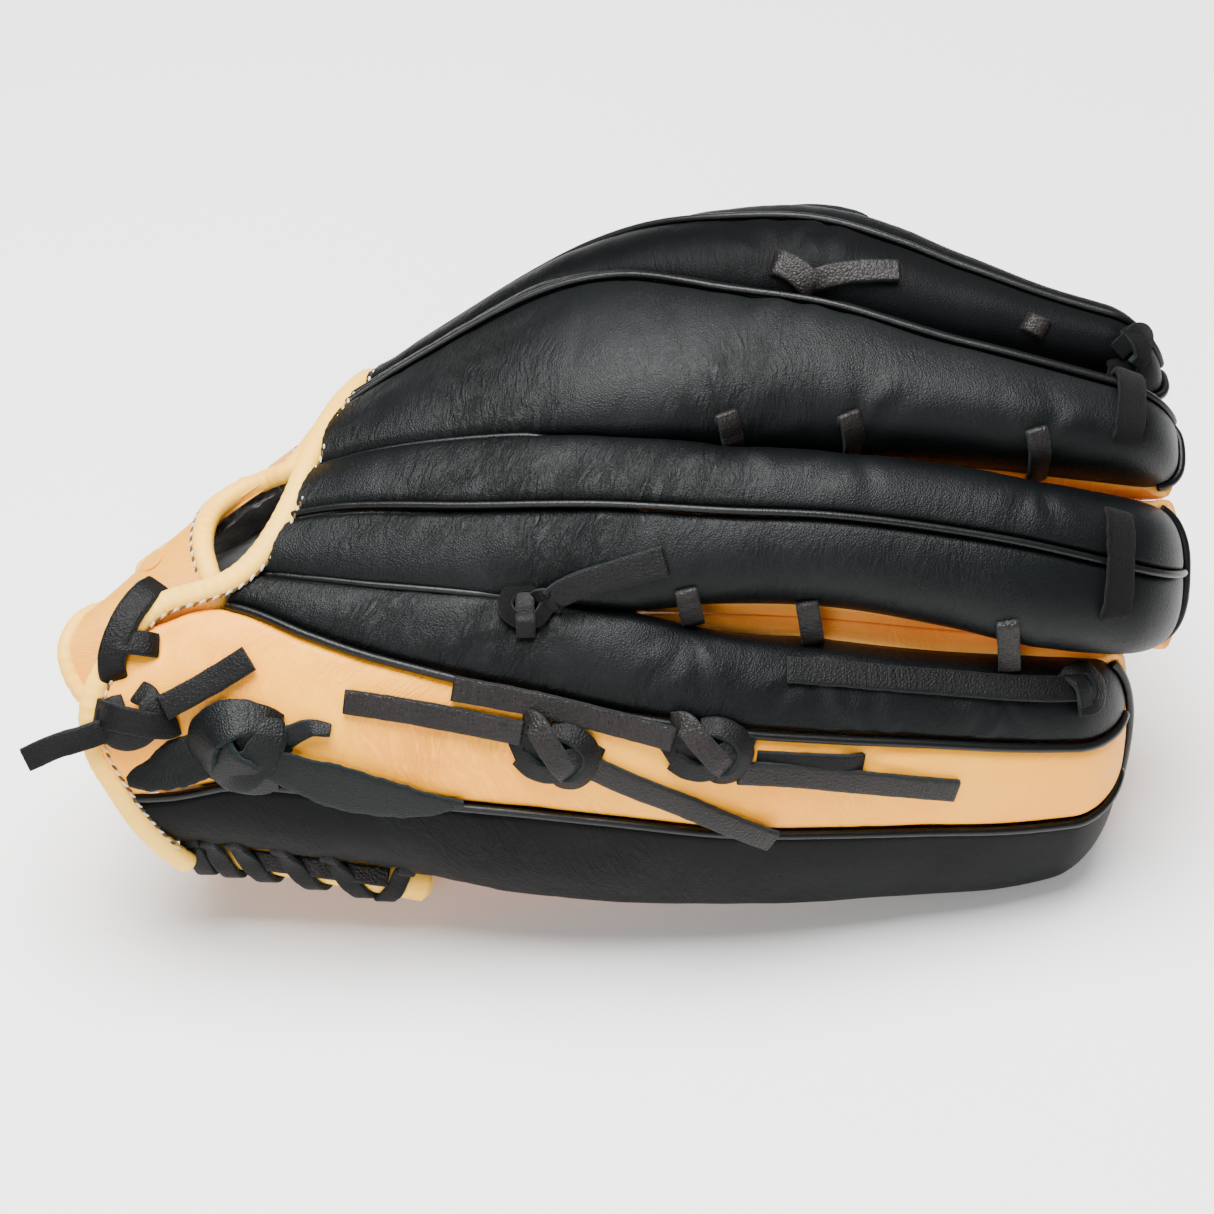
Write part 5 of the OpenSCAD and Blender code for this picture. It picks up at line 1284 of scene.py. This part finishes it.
# Each part's stations of u, v, height and width in the knot's frame, its thickness and the core it wraps
for name, t, core, nodes, stations in (
        ("loop_strip_wrist_end", 2.0, (0, 0, -6), ["pinky_loop_strip"],
         [(-8, 0.5, 2.0, 12.5), (-16, 3.4, 2.2, 13), (-25, 6.6, 1.8, 12), (-31, 9.0, 1.4, 8.5),
          (-35, 10.6, 1.0, 3.0)]),
        ("loop_strip_knot_heart", 2.0, (0, 0, -6), [],
         [(-11, 2.6, 2.6, 11), (-6, 1.6, 4.4, 13), (0, 0.2, 4.8, 13), (6, -1.4, 3.6, 11),
          (10, -2.4, 2.0, 8)]),
        ("loop_strip_knot_left", 2.0, (-3, 2, -9), [],
         [(-13, 8.0, 1.6, 7), (-13.5, 1.5, 4.4, 11), (-11, -5, 5.6, 12), (-4, -8.6, 5.4, 11.5),
          (3.4, -7.6, 3.6, 9), (8, -5, 1.4, 7)]),
        ("loop_strip_knot_fold", 2.0, (-1, 0, -9), [],
         [(-8, -9, 2.4, 8), (-9.4, -3, 5.8, 11), (-6.6, 4, 7.0, 13), (0, 8.4, 5.8, 12), (6.6, 8.0, 3.8, 11)]),
        ("loop_strip_knot_band", 2.0, (0, 4, -10), [],
         [(-10.6, 5.2, 3.4, 8), (-5, 6.6, 6.4, 11), (1.4, 3.6, 7.2, 10.5), (5.6, -2.6, 6.0, 9),
          (6, -8, 3.2, 7)]),
        ("loop_strip_stub", 1.7, (0, 0, -6), [],
         [(3, 0.6, 3.4, 7), (10, -2.6, 3.0, 6.4), (16, -4.8, 2.2, 5), (21.5, -3.8, 1.2, 3.6)])):
    k = smooth(stations, 18 * (len(stations) - 1))
    centre = placed(spot, k[:, :3])
    away = square_to(tangents(centre), centre - placed(spot, core))
    ribbon(name, centre, away, k[:, 3], t, strip_black, nodes, slot="black_leather", ragged=0.25,
           edges=teal_suede)

# The long end lies on the side: stations of x, angle, height and width
x, a, height, w = smooth([(-92, 159.6, 5.4, 7), (-86, 161.4, 5.0, 9.5), (-78, 164.8, 3.4, 12),
                          (-68, 168.2, 2.2, 13), (-57, 170.6, 1.8, 11), (-48, 172, 1.4, 7),
                          (-38.5, 172.4, 0.8, 1.6)], 150).T
dirs = skin_dir(x, a)
ribbon("loop_strip_long_end", skin(x, a) + dirs * (height + 0.9)[:, None], dirs, w, 1.9, strip_black,
       slot="black_leather", ragged=0.22, edges=teal_suede)

# ---------------------------------------------------------------- Heel roll and its lacing
# The heel's edge under the little finger is a cream roll, bound with one black lace that loops round it and
# up through slits in the panel. A short black strip lies under the loops.

ROLL_R, ROLL_SINK, ROLL_SAMPLES = 4.6, 8.6, 220
heel_line = smooth([(-118, 206.0), (-104, 207.2), (-90, 208.7), (-76, 210.2), (-62, 212.2), (-49.5, 215)],
                   ROLL_SAMPLES)
roll_share = np.linspace(0, 1, ROLL_SAMPLES)


def heel_at(t):
    """The roll's centre line at share t of its length."""
    x, a = columns_at(t, roll_share, heel_line).T
    return at(x, a, back_radius(x, a) - ROLL_SINK)


ends = np.sqrt(np.clip((1 - roll_share) * 24, 0.02, 1)) * np.sqrt(np.clip(roll_share * 20, 0.1, 1))
radius = ROLL_R * (0.94 + 0.16 * roll_share) * ends
facing = np.repeat(out_dir(np.array([218.0])), ROLL_SAMPLES, 0)
ring, faces = tube(heel_at(roll_share), facing, radius, radius, 22, taper=False)
obj = piece("heel_roll", ring, faces, [binding_cream], ring / 1000, np.full(len(ring), 0.5))
fasten(obj, "finger", "cream_binding", "heel_roll")

# Each loop's slit in the panel, and how far it leans along the roll on its way round
for k, (x, angle, lean) in enumerate(((-116, 193, 5), (-111, 192.6, 8), (-104, 193, 11), (-91.5, 194.2, 12),
                                      (-78, 196.6, 12), (-55.5, 201, -9))):
    stations, ways = [], []
    for dx, da, height in ((0, 0, -1.4), (0.4, 0.9, 0.8), (1.2, 3, 1.6)):
        stations.append(skin(x + dx * lean / 8, angle + da) + skin_dir(x + dx, angle + da) * height)
        ways.append(skin_dir(x, angle + da))
    for turn, share in ((158, 0.42), (185, 0.6), (215, 0.76), (248, 0.9), (285, 1.0), (330, 1.05)):
        way = out_dir(np.float64(turn))
        place = np.interp(x + lean * share, heel_line[:, 0], roll_share)
        stations.append(heel_at(place) + way * (ROLL_R + 1.5 + (turn < 170) * 0.8))
        ways.append(way)
    ribbon("heel_lace_%d" % (k + 1), smooth(stations, 110), unit(smooth(ways, 110)), 5.2, 1.9, dark_and_shaded_lace,
           ["heel_lace"] if k == 0 else (), ragged=0.05)

# The strip, which climbs the roll a little as it goes
share = np.linspace(0.26, 0.81, 70)
climb = share - share[0]
way = out_dir(150 - 26 * climb)
spine = heel_at(share) + (ROLL_R + 0.6 + 3.4 * climb)[:, None] * way
ribbon("heel_lace_strip", spine, way, 5.4, 1.6)
